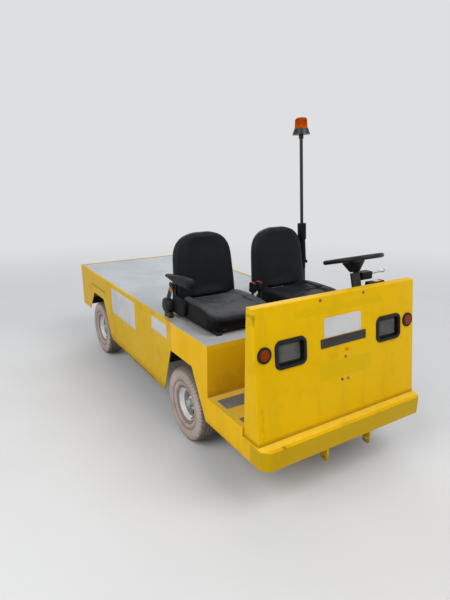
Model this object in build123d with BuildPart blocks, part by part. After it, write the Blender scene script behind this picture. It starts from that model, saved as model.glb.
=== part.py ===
from build123d import *
import math
import os

# Electric utility vehicle: a two-seat burden carrier with a flat load deck.
# Millimetres. +X is forward, +Y is the vehicle's left, +Z is up.
# The origin is on the ground, at mid-length and mid-width.

os.makedirs("parts", exist_ok=True)

# Body
front_x = 1480
rear_x = -1480
half_width = 560
deck_top = 738
skirt_bottom = 241
sill_bottom = 281
tail_bottom = 365
side_sheet = 5
edge_flange = 15
deck_recess = 4
bed_plate = 4
seat_plate = 6
seam_x = 505
load_end_x = 320
riser_x = 949
riser_sheet = 4
floor_top = 432
floor_sheet = 5
fit_gap = 0.3

# Wheel arches, cut in the side panels as trapezoids
arch_top = 552
arch_corner = 22
front_arch_rear_foot = 380
front_arch_rear_top = 490
front_arch_front_top = 770
front_arch_front_foot = 929
rear_arch_rear_foot = -1262
rear_arch_rear_top = -1105
rear_arch_front_top = -835
rear_arch_front_foot = -667

# Front bumper and cowl
bumper_top = 384
bumper_plate = 6
bumper_chamfer_x = 38
bumper_chamfer_y = 33
bumper_side_ledge = 15
bumper_lip = 28
cowl_rear_x = 1294
cowl_foot_x = 1417.7
cowl_head_x = 1339
cowl_top = 1041
cowl_inset = 9
cowl_half_width = half_width - cowl_inset
cowl_sheet = 3
cowl_bend = 6
tow_tab_x = 1439
tow_tab_y = 153
tow_tab_thick = 12
tow_tab_bottom = 196
tow_eye_r = 11

# Lamps on the cowl; heights are those of the centres above the ground
marker_inset = 55
marker_y = cowl_half_width - marker_inset
lamp_spacing = 156
lamp_y = marker_y - lamp_spacing
lamp_z = 801
lamp_cut_w = 168
lamp_cut_h = 120
lamp_cut_r = 26
bezel_w = 192
bezel_h = 144
bezel_r = 36
bezel_proud = 8
bezel_wall = 6
bezel_depth = 16
lamp_w = 138
lamp_h = 92
lamp_recess = 14
lamp_depth = 58
marker_z = 820
marker_hole_r = 32
marker_ring_r = 39
marker_lens_r = 28
tail_lamp_inset = 130
tail_lamp_y = half_width - tail_lamp_inset
tail_lamp_z = 600
tail_lamp_depth = 12

# Chassis
rail_inset = 90
rail_y = half_width / 2 - rail_inset
rail_width = 50
rail_height = 100
rail_wall = 5
rail_top = floor_top - floor_sheet
rail_front_x = 1403
rail_rear_x = -1430
cross_size = 40
outrigger_depth = 60
outrigger_width = 30
bearer_width = 40
bearer_depth = 30
post_size = 40

# Battery block, on the rails between the axles
battery_x0 = -590
battery_x1 = 90
battery_half_width = 290
battery_height = 258

# Wheels: 8 inch rims with 5.70-8 tyres
tyre_r = 233.5
tyre_width = 140
tread_width = 112
crown_drop = 5
shoulder_drop = 20
ring_r = 164
rim_width = 102
rim_flange_r = 123
rim_barrel_r = 96
rim_wall = 4
wheel_inset = 84
wheel_y = half_width - wheel_inset
hub_r = 38
hub_cap_r = 27
stud_circle_r = 57.15
nut_r = 10
nut_height = 13
stud_count = 5
drum_r = 84
drum_wall = 6
drum_back = 86
drum_shoulder = 20
hub_back = 34
front_axle_x = 622
rear_axle_x = -1022
axle_z = tyre_r
spindle_r = 20
spindle_gap = 0.3
spindle_overhang = 14

# Front axle and steering
kingpin_inset = 96
kingpin_y = wheel_y - kingpin_inset
kingpin_r = 10
boss_r = 22
boss_height = 56
beam_width = 50
beam_height = 46
beam_stop = 40
beam_end_length = 56
beam_end_width = 32
spring_seat_length = 48
ear_thick = 18
web_thick = 12
arm_width = 28
tie_arm = 120
drag_to_rail = 50
drag_pin_y = rail_y + drag_to_rail
drag_arm = kingpin_y - drag_pin_y
link_r = 10
eye_r = 14
eye_height = 24
pin_r = 6
gear_x = 1250
gear_boss_r = 38
gear_bottom = 335
gear_shaft_reach = 30
gear_bore = 37

# Leaf springs
leaf_width = 40
leaf_thick = 7
leaf_half_lengths = (300, 215, 130)
spring_eye_z = 300
spring_eye_r = 15
spring_pin_r = 8
spring_seat = 5
hanger_plate = 6
clamp_bolt_r = 5

# Rear axle with its motor
axle_tube_r = 38
axle_tube_inset = 104
axle_tube_end = wheel_y - axle_tube_inset
backing_r = 84
backing_thick = 8
diff_r = 92
diff_y = 60
motor_r = 92
motor_length = 290
motor_socket = 20
rear_seat_length = 60
rear_seat_height = 40
rear_seat_margin = 4

# Steering column and wheel
driver_inset = 10
wheel_centre = (1144, half_width / 2 - driver_inset, 1150)
column_tilt = 15.5
steering_wheel_d = 330
grip_r = 13
hub_drop = 72
jacket_r = 27
jacket_gap = 6
jacket_socket = 20
column_boss_r = 45
boss_shift = 4
shaft_r = 10
shaft_length = 60

# Seats
seat_inset = 5
seat_y = half_width / 2 - seat_inset
buckle_space = 60
seat_half_width = seat_y - buckle_space
passenger_back_x = 475
driver_back_x = 525
cushion_length = 395
cushion_z0 = 765
cushion_z1 = 866
bolster_height = 18
bolster_width = 70
back_z0 = 852
back_height = 408
back_thick = 85
back_lean = 8
back_taper = 11
back_waist = seat_half_width - back_taper
back_top_half = 92
back_shoulder_z = 262
back_shoulder_r = 90
back_foot_r = 36

# Beacon
mast_x = 452
mast_inset = 37
mast_y = half_width - mast_inset
mast_lean_back = 3.25
mast_lean_in = 1.25
sleeve_r = 22
sleeve_length = 520
pole_r = 11
pole_length = 1112
beacon_base_r = 60
beacon_lens_r = 44
beacon_base_h = 38
beacon_socket = 26
beacon_lens_h = 70


def save(piece, name):
    """Label a finished piece and write it as its own file."""
    piece.part.label = name
    export_step(piece.part, f"parts/{name}.step")


def cowl_x(z):
    """Front face of the leaning cowl at height z."""
    share = (z - bumper_top) / (cowl_top - bumper_top)
    return cowl_foot_x + (cowl_head_x - cowl_foot_x) * share


cowl_lean = math.degrees(math.atan2(cowl_foot_x - cowl_head_x, cowl_top - bumper_top))
cowl_normal = (math.cos(math.radians(cowl_lean)), 0, math.sin(math.radians(cowl_lean)))


def cowl_plane(y, z, offset=0):
    """Sketch plane on the cowl's face, centred at (y, z); its own Y runs up the sheet."""
    centre = Vector(cowl_x(z), y, z) + Vector(*cowl_normal) * offset
    return Plane(origin=centre, x_dir=(0, 1, 0), z_dir=cowl_normal)


# The two sides of the vehicle: right is -Y, left is +Y
sides = (-1, 1)

# Frame rails: two channels with the spring hangers and the bumper irons
rail_bottom = rail_top - rail_height
rail_outer = rail_y + rail_width / 2
outrigger_end = half_width - side_sheet
cross_xs = (-1395, -620, 120, 960, 1380)
outrigger_xs = (-1395, -620, -230, 260, 965, 1150)
spring_axles = ((front_axle_x, "front"), (rear_axle_x, "rear"))
hanger_bottom = spring_eye_z - spring_eye_r

with BuildPart() as frame_rails:
    for side in sides:
        with BuildSketch(Plane.YZ.offset(rail_rear_x)):
            with Locations((side * rail_y, rail_bottom + rail_height / 2)):
                Rectangle(rail_width, rail_height)
            with Locations((side * (rail_y - rail_wall), rail_bottom + rail_height / 2)):
                Rectangle(rail_width, rail_height - 2 * rail_wall, mode=Mode.SUBTRACT)
        extrude(amount=rail_front_x - rail_rear_x)
        iron_x0 = rail_front_x - 40
        iron_x1 = front_x - bumper_plate
        with Locations(((iron_x0 + iron_x1) / 2, side * (rail_outer + 5), bumper_top - 52)):
            Box(iron_x1 - iron_x0, 10, 76)
        for axle_x, end_name in spring_axles:
            for end in (-1, 1):
                hanger_x = axle_x + end * leaf_half_lengths[0]
                for face in (-1, 1):
                    plate_y = side * rail_y + face * (leaf_width + hanger_plate + 2) / 2
                    with Locations((hanger_x, plate_y, (hanger_bottom + rail_bottom + rail_wall) / 2)):
                        Box(44, hanger_plate, rail_bottom + rail_wall - hanger_bottom)
                with Locations((hanger_x, side * rail_y, spring_eye_z)):
                    Cylinder(spring_pin_r - fit_gap, leaf_width + 2 * hanger_plate + 4, rotation=(90, 0, 0))
save(frame_rails, "frame_rails")

# Cross members between the rails, outriggers to the side panels, and the tow hitch
hitch_x = -1448
hitch_bore_r = 13
hitch_width = 90
hitch_plate = 12
hitch_gap = 33
hitch_height = 2 * hitch_plate + hitch_gap
hitch_mid = tail_bottom - 1 - hitch_height / 2
cross_z = rail_bottom + rail_height / 2
with BuildPart() as cross_members:
    for x in cross_xs:
        with Locations((x, 0, cross_z)):
            Box(cross_size, 2 * (rail_outer - rail_wall), cross_size)
    for side in sides:
        for x in outrigger_xs:
            with Locations((x, side * (rail_outer + outrigger_end) / 2, rail_top - outrigger_depth / 2)):
                Box(outrigger_width, outrigger_end - rail_outer, outrigger_depth)
    front_face = cross_xs[0] - cross_size / 2
    for level in (hitch_mid + hitch_gap / 2, hitch_mid - hitch_gap / 2 - hitch_plate):
        with BuildSketch(Plane.XY.offset(level)) as outline:
            with Locations(((rear_x + 2 + front_face) / 2, 0)):
                Rectangle(front_face - rear_x - 2, hitch_width)
            fillet(outline.vertices().group_by(Axis.X)[0], 24)
            with Locations((hitch_x, 0)):
                Circle(hitch_bore_r, mode=Mode.SUBTRACT)
        extrude(amount=hitch_plate)
    back_plate_low = hitch_mid - hitch_height / 2
    back_plate_top = cross_z + cross_size / 2
    with Locations((front_face - 5, 0, (back_plate_low + back_plate_top) / 2)):
        Box(10, hitch_width, back_plate_top - back_plate_low)
save(cross_members, "cross_members")

# Deck frame: cross bearers under the plates, the main ones with posts on the rails
bed_under = deck_top - deck_recess - bed_plate
seat_under = deck_top - seat_plate
bearer_table = (
    # x, top of the bearer, with posts
    (-1395, bed_under, True),
    (-1110, bed_under, False),
    (-860, bed_under, False),
    (-620, bed_under, True),
    (-370, bed_under, False),
    (-120, bed_under, False),
    (120, bed_under, True),
    (290, bed_under, False),
    (350, seat_under, False),
    (480, seat_under, True),
    (720, seat_under, False),
    (900, seat_under, True),
)
with BuildPart() as deck_frame:
    for x, top, has_posts in bearer_table:
        with Locations((x, 0, top - bearer_depth / 2)):
            Box(bearer_width, 2 * outrigger_end, bearer_depth)
        if has_posts:
            post_height = top - bearer_depth - rail_top
            for side in sides:
                with Locations((x, side * rail_y, rail_top + post_height / 2)):
                    Box(post_size, post_size, post_height)
save(deck_frame, "deck_frame")

# Battery pack: one closed block on the rails
with BuildPart() as battery_pack:
    with Locations(((battery_x0 + battery_x1) / 2, 0, rail_top + battery_height / 2)):
        Box(battery_x1 - battery_x0, 2 * battery_half_width, battery_height)
    edges = battery_pack.edges().filter_by(Axis.Z)
    fillet(edges, 15)
save(battery_pack, "battery_pack")

# Load deck, and the seat deck folded down as the riser behind the feet
with BuildPart() as bed_deck:
    deck_x0 = rear_x + edge_flange + fit_gap
    deck_x1 = load_end_x - fit_gap
    with Locations(((deck_x0 + deck_x1) / 2, 0, bed_under + bed_plate / 2)):
        Box(deck_x1 - deck_x0, 2 * (half_width - edge_flange - fit_gap), bed_plate)
save(bed_deck, "bed_deck")

with BuildPart() as seat_deck:
    with Locations(((seam_x + riser_x) / 2, 0, seat_under + seat_plate / 2)):
        Box(riser_x - seam_x, 2 * half_width, seat_plate)
    with Locations(((load_end_x + seam_x) / 2, 0, seat_under + seat_plate / 2)):
        Box(seam_x - load_end_x, 2 * (half_width - edge_flange - fit_gap), seat_plate)
    with Locations((riser_x - riser_sheet / 2, 0, (floor_top + seat_under) / 2)):
        Box(riser_sheet, 2 * (half_width - side_sheet), seat_under - floor_top)
    top_front = [e for e in seat_deck.edges().group_by(Axis.Z)[-1] if e.center().X > riser_x - 1]
    fillet(top_front, 3)
save(seat_deck, "seat_deck")

# Side panels of the bed, with the rear arch and the rear half of the front arch
bed_side_outline = (
    (rear_x, tail_bottom),
    (rear_arch_rear_foot, tail_bottom),
    (rear_arch_rear_top, arch_top),
    (rear_arch_front_top, arch_top),
    (rear_arch_front_foot, skirt_bottom),
    (front_arch_rear_foot, skirt_bottom),
    (front_arch_rear_top, arch_top),
    (seam_x, arch_top),
    (seam_x, deck_top),
    (rear_x, deck_top),
)
with BuildPart() as bed_sides:
    for side in sides:
        with BuildSketch(Plane.XZ.offset(-side * half_width)) as outline:
            with BuildLine():
                Polyline(*bed_side_outline, close=True)
            make_face()
            corners = [v for v in outline.vertices() if abs(v.Y - arch_top) < 1 and v.X < 0]
            fillet(corners, arch_corner)
        extrude(amount=side * side_sheet)
        flange_y = side * (half_width - edge_flange / 2)
        with Locations(((rear_x + seam_x) / 2, flange_y, deck_top - side_sheet / 2)):
            Box(seam_x - rear_x, edge_flange, side_sheet)
        lip_x0 = rear_arch_front_foot + 25
        lip_x1 = front_arch_rear_foot - 30
        with Locations(((lip_x0 + lip_x1) / 2, side * (half_width - 12), skirt_bottom + side_sheet / 2)):
            Box(lip_x1 - lip_x0, 24, side_sheet)
save(bed_sides, "bed_sides")

# Side panels of the seat box, running forward as the step sills
cab_side_outline = (
    (seam_x, arch_top),
    (seam_x, seat_under),
    (riser_x, seat_under),
    (riser_x, floor_top),
    (cowl_rear_x, floor_top),
    (cowl_rear_x, sill_bottom),
    (front_arch_front_foot, sill_bottom),
    (front_arch_front_top, arch_top),
)
with BuildPart() as cab_sides:
    for side in sides:
        with BuildSketch(Plane.XZ.offset(-side * half_width)) as outline:
            with BuildLine():
                Polyline(*cab_side_outline, close=True)
            make_face()
            corners = [v for v in outline.vertices() if abs(v.Y - arch_top) < 1 and v.X > seam_x + 1]
            fillet(corners, arch_corner)
        extrude(amount=side * side_sheet)
save(cab_sides, "cab_sides")

# Tail panel between the bed sides
with BuildPart() as tail_panel:
    inner = 2 * (half_width - side_sheet)
    sheet_top = deck_top - side_sheet
    with Locations((rear_x + side_sheet / 2, 0, (tail_bottom + sheet_top) / 2)):
        Box(side_sheet, inner, sheet_top - tail_bottom)
    with Locations((rear_x + edge_flange / 2, 0, deck_top - side_sheet / 2)):
        Box(edge_flange, 2 * (half_width - edge_flange), side_sheet)
    with BuildSketch(Plane.YZ.offset(rear_x - 1)):
        with Locations((tail_lamp_y, tail_lamp_z), (-tail_lamp_y, tail_lamp_z)):
            Circle(marker_hole_r)
    extrude(amount=side_sheet + 2, mode=Mode.SUBTRACT)
save(tail_panel, "tail_panel")

# Steering column axis, from the wheel's centre down to the floor
tilt = math.radians(column_tilt)
column_up = Vector(-math.sin(tilt), 0, math.cos(tilt))
wheel_mid = Vector(*wheel_centre)
floor_reach = (wheel_mid.Z - rail_top) / math.cos(tilt)
column_foot = wheel_mid - column_up * floor_reach

# Cab floor, stepping in between the cowl's side flanges
floor_front = cowl_x(floor_top) - cowl_sheet / math.cos(math.radians(cowl_lean)) - 1
floor_steps = (
    # rear end, front end, half width
    (riser_x - riser_sheet, cowl_rear_x, half_width - side_sheet),
    (cowl_rear_x, floor_front, cowl_half_width - cowl_sheet),
)
with BuildPart() as floor_pan:
    for x0, x1, half in floor_steps:
        with Locations(((x0 + x1) / 2, 0, floor_top - floor_sheet / 2)):
            Box(x1 - x0, 2 * half, floor_sheet)
    with Locations((column_foot.X, column_foot.Y, floor_top)):
        Cylinder(jacket_r + 6, 4 * floor_sheet, mode=Mode.SUBTRACT)
save(floor_pan, "floor_pan")

# Front bumper: a folded plate with chamfered corners, a top ledge and two tow tabs
nose = front_x - bumper_chamfer_x
flank = half_width - bumper_chamfer_y
bumper_outline = (
    (cowl_rear_x, half_width),
    (nose, half_width),
    (front_x, flank),
    (front_x, -flank),
    (nose, -half_width),
    (cowl_rear_x, -half_width),
)
ledge_back = cowl_foot_x - 14
with BuildPart() as front_bumper:
    with BuildSketch(Plane.XY.offset(sill_bottom)) as outer:
        with BuildLine():
            Polyline(*bumper_outline, close=True)
        make_face()
        fillet([v for v in outer.vertices() if v.X > cowl_rear_x + 1], 12)
    extrude(amount=bumper_top - sill_bottom)
    ledge_edges = [e for e in front_bumper.edges().group_by(Axis.Z)[-1] if e.center().X > cowl_rear_x + 1]
    fillet(ledge_edges, 4)
    inside = (
        (cowl_rear_x - 1, half_width - bumper_plate),
        (nose - 2, half_width - bumper_plate),
        (front_x - bumper_plate, flank - 3),
        (front_x - bumper_plate, -flank + 3),
        (nose - 2, -half_width + bumper_plate),
        (cowl_rear_x - 1, -half_width + bumper_plate),
    )
    with BuildSketch(Plane.XY.offset(sill_bottom + bumper_plate)):
        with BuildLine():
            Polyline(*inside, close=True)
        make_face()
    extrude(amount=bumper_top - sill_bottom - 2 * bumper_plate, mode=Mode.SUBTRACT)
    with BuildSketch(Plane.XY.offset(bumper_top - 2 * bumper_plate)):
        with Locations(((cowl_rear_x - 1 + ledge_back) / 2, 0)):
            Rectangle(ledge_back - cowl_rear_x + 1, 2 * (half_width - bumper_side_ledge))
    extrude(amount=3 * bumper_plate, mode=Mode.SUBTRACT)
    with BuildSketch(Plane.XY.offset(sill_bottom - 1)):
        with Locations(((cowl_rear_x - 1 + front_x - bumper_lip) / 2, 0)):
            Rectangle(front_x - bumper_lip - cowl_rear_x + 1, 2 * (half_width - bumper_lip))
    extrude(amount=2 * bumper_plate, mode=Mode.SUBTRACT)
    # Tow tabs hang from the bottom lip
    for side in sides:
        tab_plane = Plane.XZ.offset(-side * tow_tab_y - tow_tab_thick / 2)
        with BuildSketch(tab_plane):
            with Locations((tow_tab_x + 8, (tow_tab_bottom + sill_bottom + bumper_plate) / 2)):
                RectangleRounded(46, sill_bottom + bumper_plate - tow_tab_bottom, 12)
            with Locations((tow_tab_x + 8, sill_bottom - 8)):
                Rectangle(46, 28)
            with Locations((tow_tab_x + 8, tow_tab_bottom + 24)):
                Circle(tow_eye_r, mode=Mode.SUBTRACT)
        extrude(amount=tow_tab_thick)
save(front_bumper, "front_bumper")

# Cowl: a leaning front sheet folded back along its top and sides
cowl_side = (
    (cowl_rear_x, bumper_top),
    (cowl_foot_x, bumper_top),
    (cowl_head_x, cowl_top),
    (cowl_rear_x, cowl_top),
)
lean_sheet = cowl_sheet / math.cos(math.radians(cowl_lean))
cowl_inside = (
    (cowl_rear_x - 10, bumper_top - 10),
    (cowl_x(bumper_top - 10) - lean_sheet, bumper_top - 10),
    (cowl_x(cowl_top - cowl_sheet) - lean_sheet, cowl_top - cowl_sheet),
    (cowl_rear_x - 10, cowl_top - cowl_sheet),
)
with BuildPart() as cowl:
    with BuildSketch(Plane.XZ.offset(-cowl_half_width)):
        with BuildLine():
            Polyline(*cowl_side, close=True)
        make_face()
    extrude(amount=2 * cowl_half_width)
    front_edges = cowl.faces().sort_by(Axis.X)[-1].edges()
    folds = [e for e in front_edges if e.center().Z > bumper_top + 1]
    fillet(folds, cowl_bend)
    with BuildSketch(Plane.XZ.offset(-cowl_half_width + cowl_sheet)):
        with BuildLine():
            Polyline(*cowl_inside, close=True)
        make_face()
    extrude(amount=2 * (cowl_half_width - cowl_sheet), mode=Mode.SUBTRACT)
    for side in sides:
        with BuildSketch(cowl_plane(side * lamp_y, lamp_z, 5)):
            RectangleRounded(lamp_cut_w, lamp_cut_h, lamp_cut_r)
        extrude(amount=-20, mode=Mode.SUBTRACT)
        with BuildSketch(cowl_plane(side * marker_y, marker_z, 5)):
            Circle(marker_hole_r)
        extrude(amount=-20, mode=Mode.SUBTRACT)
save(cowl, "cowl")

# Black trims: headlamp bezels and marker rings, with collars through the sheet
with BuildPart() as lamp_trims:
    for side in sides:
        with BuildSketch(cowl_plane(side * lamp_y, lamp_z)):
            RectangleRounded(bezel_w, bezel_h, bezel_r)
        extrude(amount=bezel_proud, taper=20)
        with BuildSketch(cowl_plane(side * lamp_y, lamp_z)):
            RectangleRounded(lamp_cut_w - 2 * fit_gap, lamp_cut_h - 2 * fit_gap, lamp_cut_r - fit_gap)
        extrude(amount=-bezel_depth)
        with BuildSketch(cowl_plane(side * lamp_y, lamp_z, bezel_proud + 1)):
            opening = (lamp_cut_w - 2 * bezel_wall, lamp_cut_h - 2 * bezel_wall)
            RectangleRounded(*opening, lamp_cut_r - bezel_wall)
        extrude(amount=-bezel_depth - bezel_proud - 2, mode=Mode.SUBTRACT)
    for side in sides:
        with BuildSketch(cowl_plane(side * marker_y, marker_z)):
            Circle(marker_ring_r)
        extrude(amount=6)
        with BuildSketch(cowl_plane(side * marker_y, marker_z, 1)):
            Circle(marker_hole_r - fit_gap)
        extrude(amount=-12)
        with BuildSketch(cowl_plane(side * marker_y, marker_z, 7)):
            Circle(marker_lens_r)
        extrude(amount=-24, mode=Mode.SUBTRACT)
save(lamp_trims, "lamp_trims")

# Lenses: amber markers in front, red lamps behind
with BuildPart() as signal_lenses:
    for side in sides:
        with BuildSketch(cowl_plane(side * marker_y, marker_z, -10)):
            Circle(marker_lens_r - fit_gap)
        extrude(amount=18, taper=4)
    for side in sides:
        tail_mid = (rear_x, side * tail_lamp_y, tail_lamp_z)
        with BuildSketch(Plane(origin=tail_mid, x_dir=(0, -1, 0), z_dir=(-1, 0, 0))):
            Circle(marker_hole_r - fit_gap)
        extrude(amount=-tail_lamp_depth)
save(signal_lenses, "signal_lenses")

# Headlamps: a rectangular lens on a tapering bucket, hung behind the cowl on a strap
with BuildPart() as headlamps:
    for side in sides:
        lens_plane = cowl_plane(side * lamp_y, lamp_z, -lamp_recess)
        with BuildSketch(lens_plane):
            RectangleRounded(lamp_w, lamp_h, 8)
        extrude(amount=-14)
        with BuildSketch(cowl_plane(side * lamp_y, lamp_z, -lamp_recess - 14)):
            RectangleRounded(lamp_w - 6, lamp_h - 6, 8)
        extrude(amount=-(lamp_depth - 14), taper=22)
        strap_depth = lamp_recess + 20
        with BuildSketch(cowl_plane(side * lamp_y, lamp_z, -strap_depth)):
            Rectangle(lamp_cut_w + 60, 24)
        extrude(amount=-4)
        foot_y = (lamp_cut_w + 60) / 2 - 8
        for foot in (-1, 1):
            with BuildSketch(cowl_plane(side * lamp_y, lamp_z, -cowl_sheet)):
                with Locations((foot * foot_y, 0)):
                    Rectangle(16, 24)
            extrude(amount=-(strap_depth + 4 - cowl_sheet))
save(headlamps, "headlamps")

# Dash panel: a fold behind the cowl's top, with an instrument pod
dash_bottom = 905
dash_sheet = 2
dash_back = cowl_rear_x + dash_sheet / 2
pod_to_column = 38
pod_y = wheel_centre[1] + pod_to_column
pod_z = 1012
pod_depth = 38
pod_width = 112
pod_height = 72
pod_bend = 5
with BuildPart() as dash_panel:
    dash_width = 2 * (cowl_half_width - cowl_sheet)
    with Locations((dash_back, 0, (dash_bottom + cowl_top - cowl_sheet) / 2)):
        Box(dash_sheet, dash_width, cowl_top - cowl_sheet - dash_bottom)
    lip_end = cowl_x(dash_bottom + dash_sheet) - lean_sheet - fit_gap
    with Locations(((dash_back + lip_end) / 2, 0, dash_bottom + dash_sheet / 2)):
        Box(lip_end - dash_back, dash_width, dash_sheet)
    with Locations((cowl_rear_x - pod_depth / 2, pod_y, pod_z)):
        Box(pod_depth, pod_width, pod_height)
    fillet(dash_panel.edges().group_by(Axis.X)[0], pod_bend)
save(dash_panel, "dash_panel")

# Front axle: a beam with spring seats and kingpin bosses
beam_top = axle_z + beam_height / 2
front_pack_bottom = beam_top + spring_seat

with BuildPart() as front_axle:
    with Locations((front_axle_x, 0, axle_z)):
        Box(beam_width, 2 * (kingpin_y - beam_stop), beam_height)
    for side in sides:
        with Locations((front_axle_x, side * (kingpin_y - beam_end_length / 2), axle_z)):
            Box(beam_end_width, beam_end_length, beam_height)
        with Locations((front_axle_x, side * kingpin_y, axle_z)):
            Cylinder(boss_r, boss_height)
            Cylinder(kingpin_r + fit_gap, boss_height + 2, mode=Mode.SUBTRACT)
        with Locations((front_axle_x, side * rail_y, beam_top + spring_seat / 2)):
            Box(spring_seat_length, leaf_width + 8, spring_seat)
save(front_axle, "front_axle")

# Rear axle: tube, differential and motor in one drive unit
rear_seat_z = axle_z + axle_tube_r + 2
rear_pack_bottom = rear_seat_z
with BuildPart() as rear_axle:
    with Locations((rear_axle_x, 0, axle_z)):
        Cylinder(axle_tube_r, 2 * axle_tube_end, rotation=(90, 0, 0))
    with Locations((rear_axle_x, diff_y, axle_z)):
        Sphere(diff_r)
    with Locations((rear_axle_x + diff_r + motor_length / 2 - motor_socket, diff_y, axle_z)):
        Cylinder(motor_r, motor_length, rotation=(0, 90, 0))
    for side in sides:
        with Locations((rear_axle_x, side * (axle_tube_end + backing_thick / 2), axle_z)):
            Cylinder(backing_r, backing_thick, rotation=(90, 0, 0))
        spindle_end = wheel_y + spindle_overhang
        spindle_mid = side * (axle_tube_end + backing_thick + spindle_end) / 2
        with Locations((rear_axle_x, spindle_mid, axle_z)):
            Cylinder(spindle_r, spindle_end - axle_tube_end - backing_thick, rotation=(90, 0, 0))
        with Locations((rear_axle_x, side * rail_y, rear_seat_z - rear_seat_height / 2)):
            Box(rear_seat_length, leaf_width + 2 * rear_seat_margin, rear_seat_height)
save(rear_axle, "rear_axle")


def arc_height(x, half_span, sag, middle):
    """Height of a leaf's shallow arc at x from its middle."""
    radius = (half_span ** 2 + sag ** 2) / (2 * sag)
    return middle + radius - math.sqrt(radius ** 2 - x ** 2)


# Leaf springs: three leaves with rolled eyes, and a clamp plate with four bolts round the axle
clamp_plate = 7
clamp_width = leaf_width + 4 * clamp_bolt_r - 4
spring_table = (
    # axle x, bottom of the pack, bolt spacing along x, lower ends of the bolts
    (front_axle_x, front_pack_bottom, 33, axle_z - beam_height / 2 - 16),
    (rear_axle_x, rear_pack_bottom, 46, axle_z - axle_tube_r - 16),
)
with BuildPart() as leaf_springs:
    for side in sides:
        for axle_x, pack_bottom, bolt_x, bolt_foot in spring_table:
            pack_top = pack_bottom + leaf_thick * len(leaf_half_lengths)
            clamp_levels = (pack_top + clamp_plate / 2, bolt_foot + 6 + clamp_plate / 2)
            for level in clamp_levels:
                with Locations((axle_x, side * rail_y, level)):
                    Box(2 * bolt_x + 18, clamp_width, clamp_plate)
            bolt_top = pack_top + clamp_plate + 8
            bolt_y = clamp_width / 2 - clamp_bolt_r - 1
            for dx in (-bolt_x, bolt_x):
                for dy in (-bolt_y, bolt_y):
                    with Locations((axle_x + dx, side * rail_y + dy, (bolt_top + bolt_foot) / 2)):
                        Cylinder(clamp_bolt_r, bolt_top - bolt_foot)
            with BuildSketch(Plane.XZ.offset(-side * rail_y - leaf_width / 2)):
                main_half = leaf_half_lengths[0]
                main_mid = pack_bottom + leaf_thick * 2.5
                sag = spring_eye_z - main_mid
                for step, half_length in enumerate(leaf_half_lengths):
                    top_mid = pack_bottom + leaf_thick * (3 - step)
                    end_top = arc_height(half_length, main_half, sag, top_mid)
                    with BuildLine():
                        ThreePointArc(
                            (axle_x - half_length, end_top),
                            (axle_x, top_mid),
                            (axle_x + half_length, end_top),
                        )
                        ThreePointArc(
                            (axle_x - half_length, end_top - leaf_thick),
                            (axle_x, top_mid - leaf_thick),
                            (axle_x + half_length, end_top - leaf_thick),
                        )
                        for end in (-1, 1):
                            Line(
                                (axle_x + end * half_length, end_top),
                                (axle_x + end * half_length, end_top - leaf_thick),
                            )
                    make_face()
                with Locations((axle_x - main_half, spring_eye_z), (axle_x + main_half, spring_eye_z)):
                    Circle(spring_eye_r)
                    Circle(spring_pin_r, mode=Mode.SUBTRACT)
            extrude(amount=leaf_width)
save(leaf_springs, "leaf_springs")

# Knuckles: two ears on the kingpin, a web, the spindle and the steering arms
ear_offset = boss_height / 2 + 0.5 + ear_thick / 2
web_y = kingpin_y + boss_r + 5
spindle_end_front = wheel_y + spindle_overhang
tie_pin_x = front_axle_x - tie_arm
arm_z_low = axle_z - ear_offset
arm_z_high = axle_z + ear_offset


def make_knuckle(side, has_drag_arm):
    """One steering knuckle; the left one also carries the drag link's arm."""
    with BuildPart() as knuckle:
        for level in (-1, 1):
            with Locations((front_axle_x, side * kingpin_y, axle_z + level * ear_offset)):
                Cylinder(boss_r, ear_thick)
            ear_length = web_y + web_thick - kingpin_y
            with Locations((front_axle_x, side * (kingpin_y + ear_length / 2), axle_z + level * ear_offset)):
                Box(2 * boss_r, ear_length, ear_thick)
        with Locations((front_axle_x, side * (web_y + web_thick / 2), axle_z)):
            Box(2 * boss_r, web_thick, 2 * ear_offset + ear_thick)
        with Locations((front_axle_x, side * kingpin_y, axle_z)):
            Cylinder(kingpin_r, 2 * ear_offset + ear_thick + 8)
        spindle_length = spindle_end_front - web_y - web_thick / 2
        with Locations((front_axle_x, side * (spindle_end_front - spindle_length / 2), axle_z)):
            Cylinder(spindle_r, spindle_length, rotation=(90, 0, 0))
        with BuildSketch(Plane.XY.offset(arm_z_low - ear_thick / 2)):
            with Locations(((front_axle_x + tie_pin_x) / 2, side * kingpin_y)):
                SlotCenterToCenter(tie_arm, arm_width)
            with Locations((tie_pin_x, side * kingpin_y)):
                Circle(pin_r + fit_gap, mode=Mode.SUBTRACT)
        extrude(amount=ear_thick)
        if has_drag_arm:
            with BuildSketch(Plane.XY.offset(arm_z_high - ear_thick / 2)):
                with Locations((front_axle_x, side * (kingpin_y + drag_pin_y) / 2)):
                    SlotCenterToCenter(drag_arm, arm_width, rotation=90)
                with Locations((front_axle_x, side * drag_pin_y)):
                    Circle(pin_r + fit_gap, mode=Mode.SUBTRACT)
            extrude(amount=ear_thick)
    return knuckle


save(make_knuckle(-1, False), "knuckle_right")
save(make_knuckle(1, True), "knuckle_left")

# Tie rod below the arms, with a ball stud up into each arm
tie_z = arm_z_low - ear_thick / 2 - 0.5 - eye_height / 2
with BuildPart() as tie_rod:
    with Locations((tie_pin_x, 0, tie_z)):
        Cylinder(link_r, 2 * kingpin_y, rotation=(90, 0, 0))
    for side in sides:
        with Locations((tie_pin_x, side * kingpin_y, tie_z)):
            Cylinder(eye_r, eye_height)
        stud_length = eye_height / 2 + ear_thick - 0.5
        with Locations((tie_pin_x, side * kingpin_y, tie_z + stud_length / 2)):
            Cylinder(pin_r, stud_length)
save(tie_rod, "tie_rod")

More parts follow.
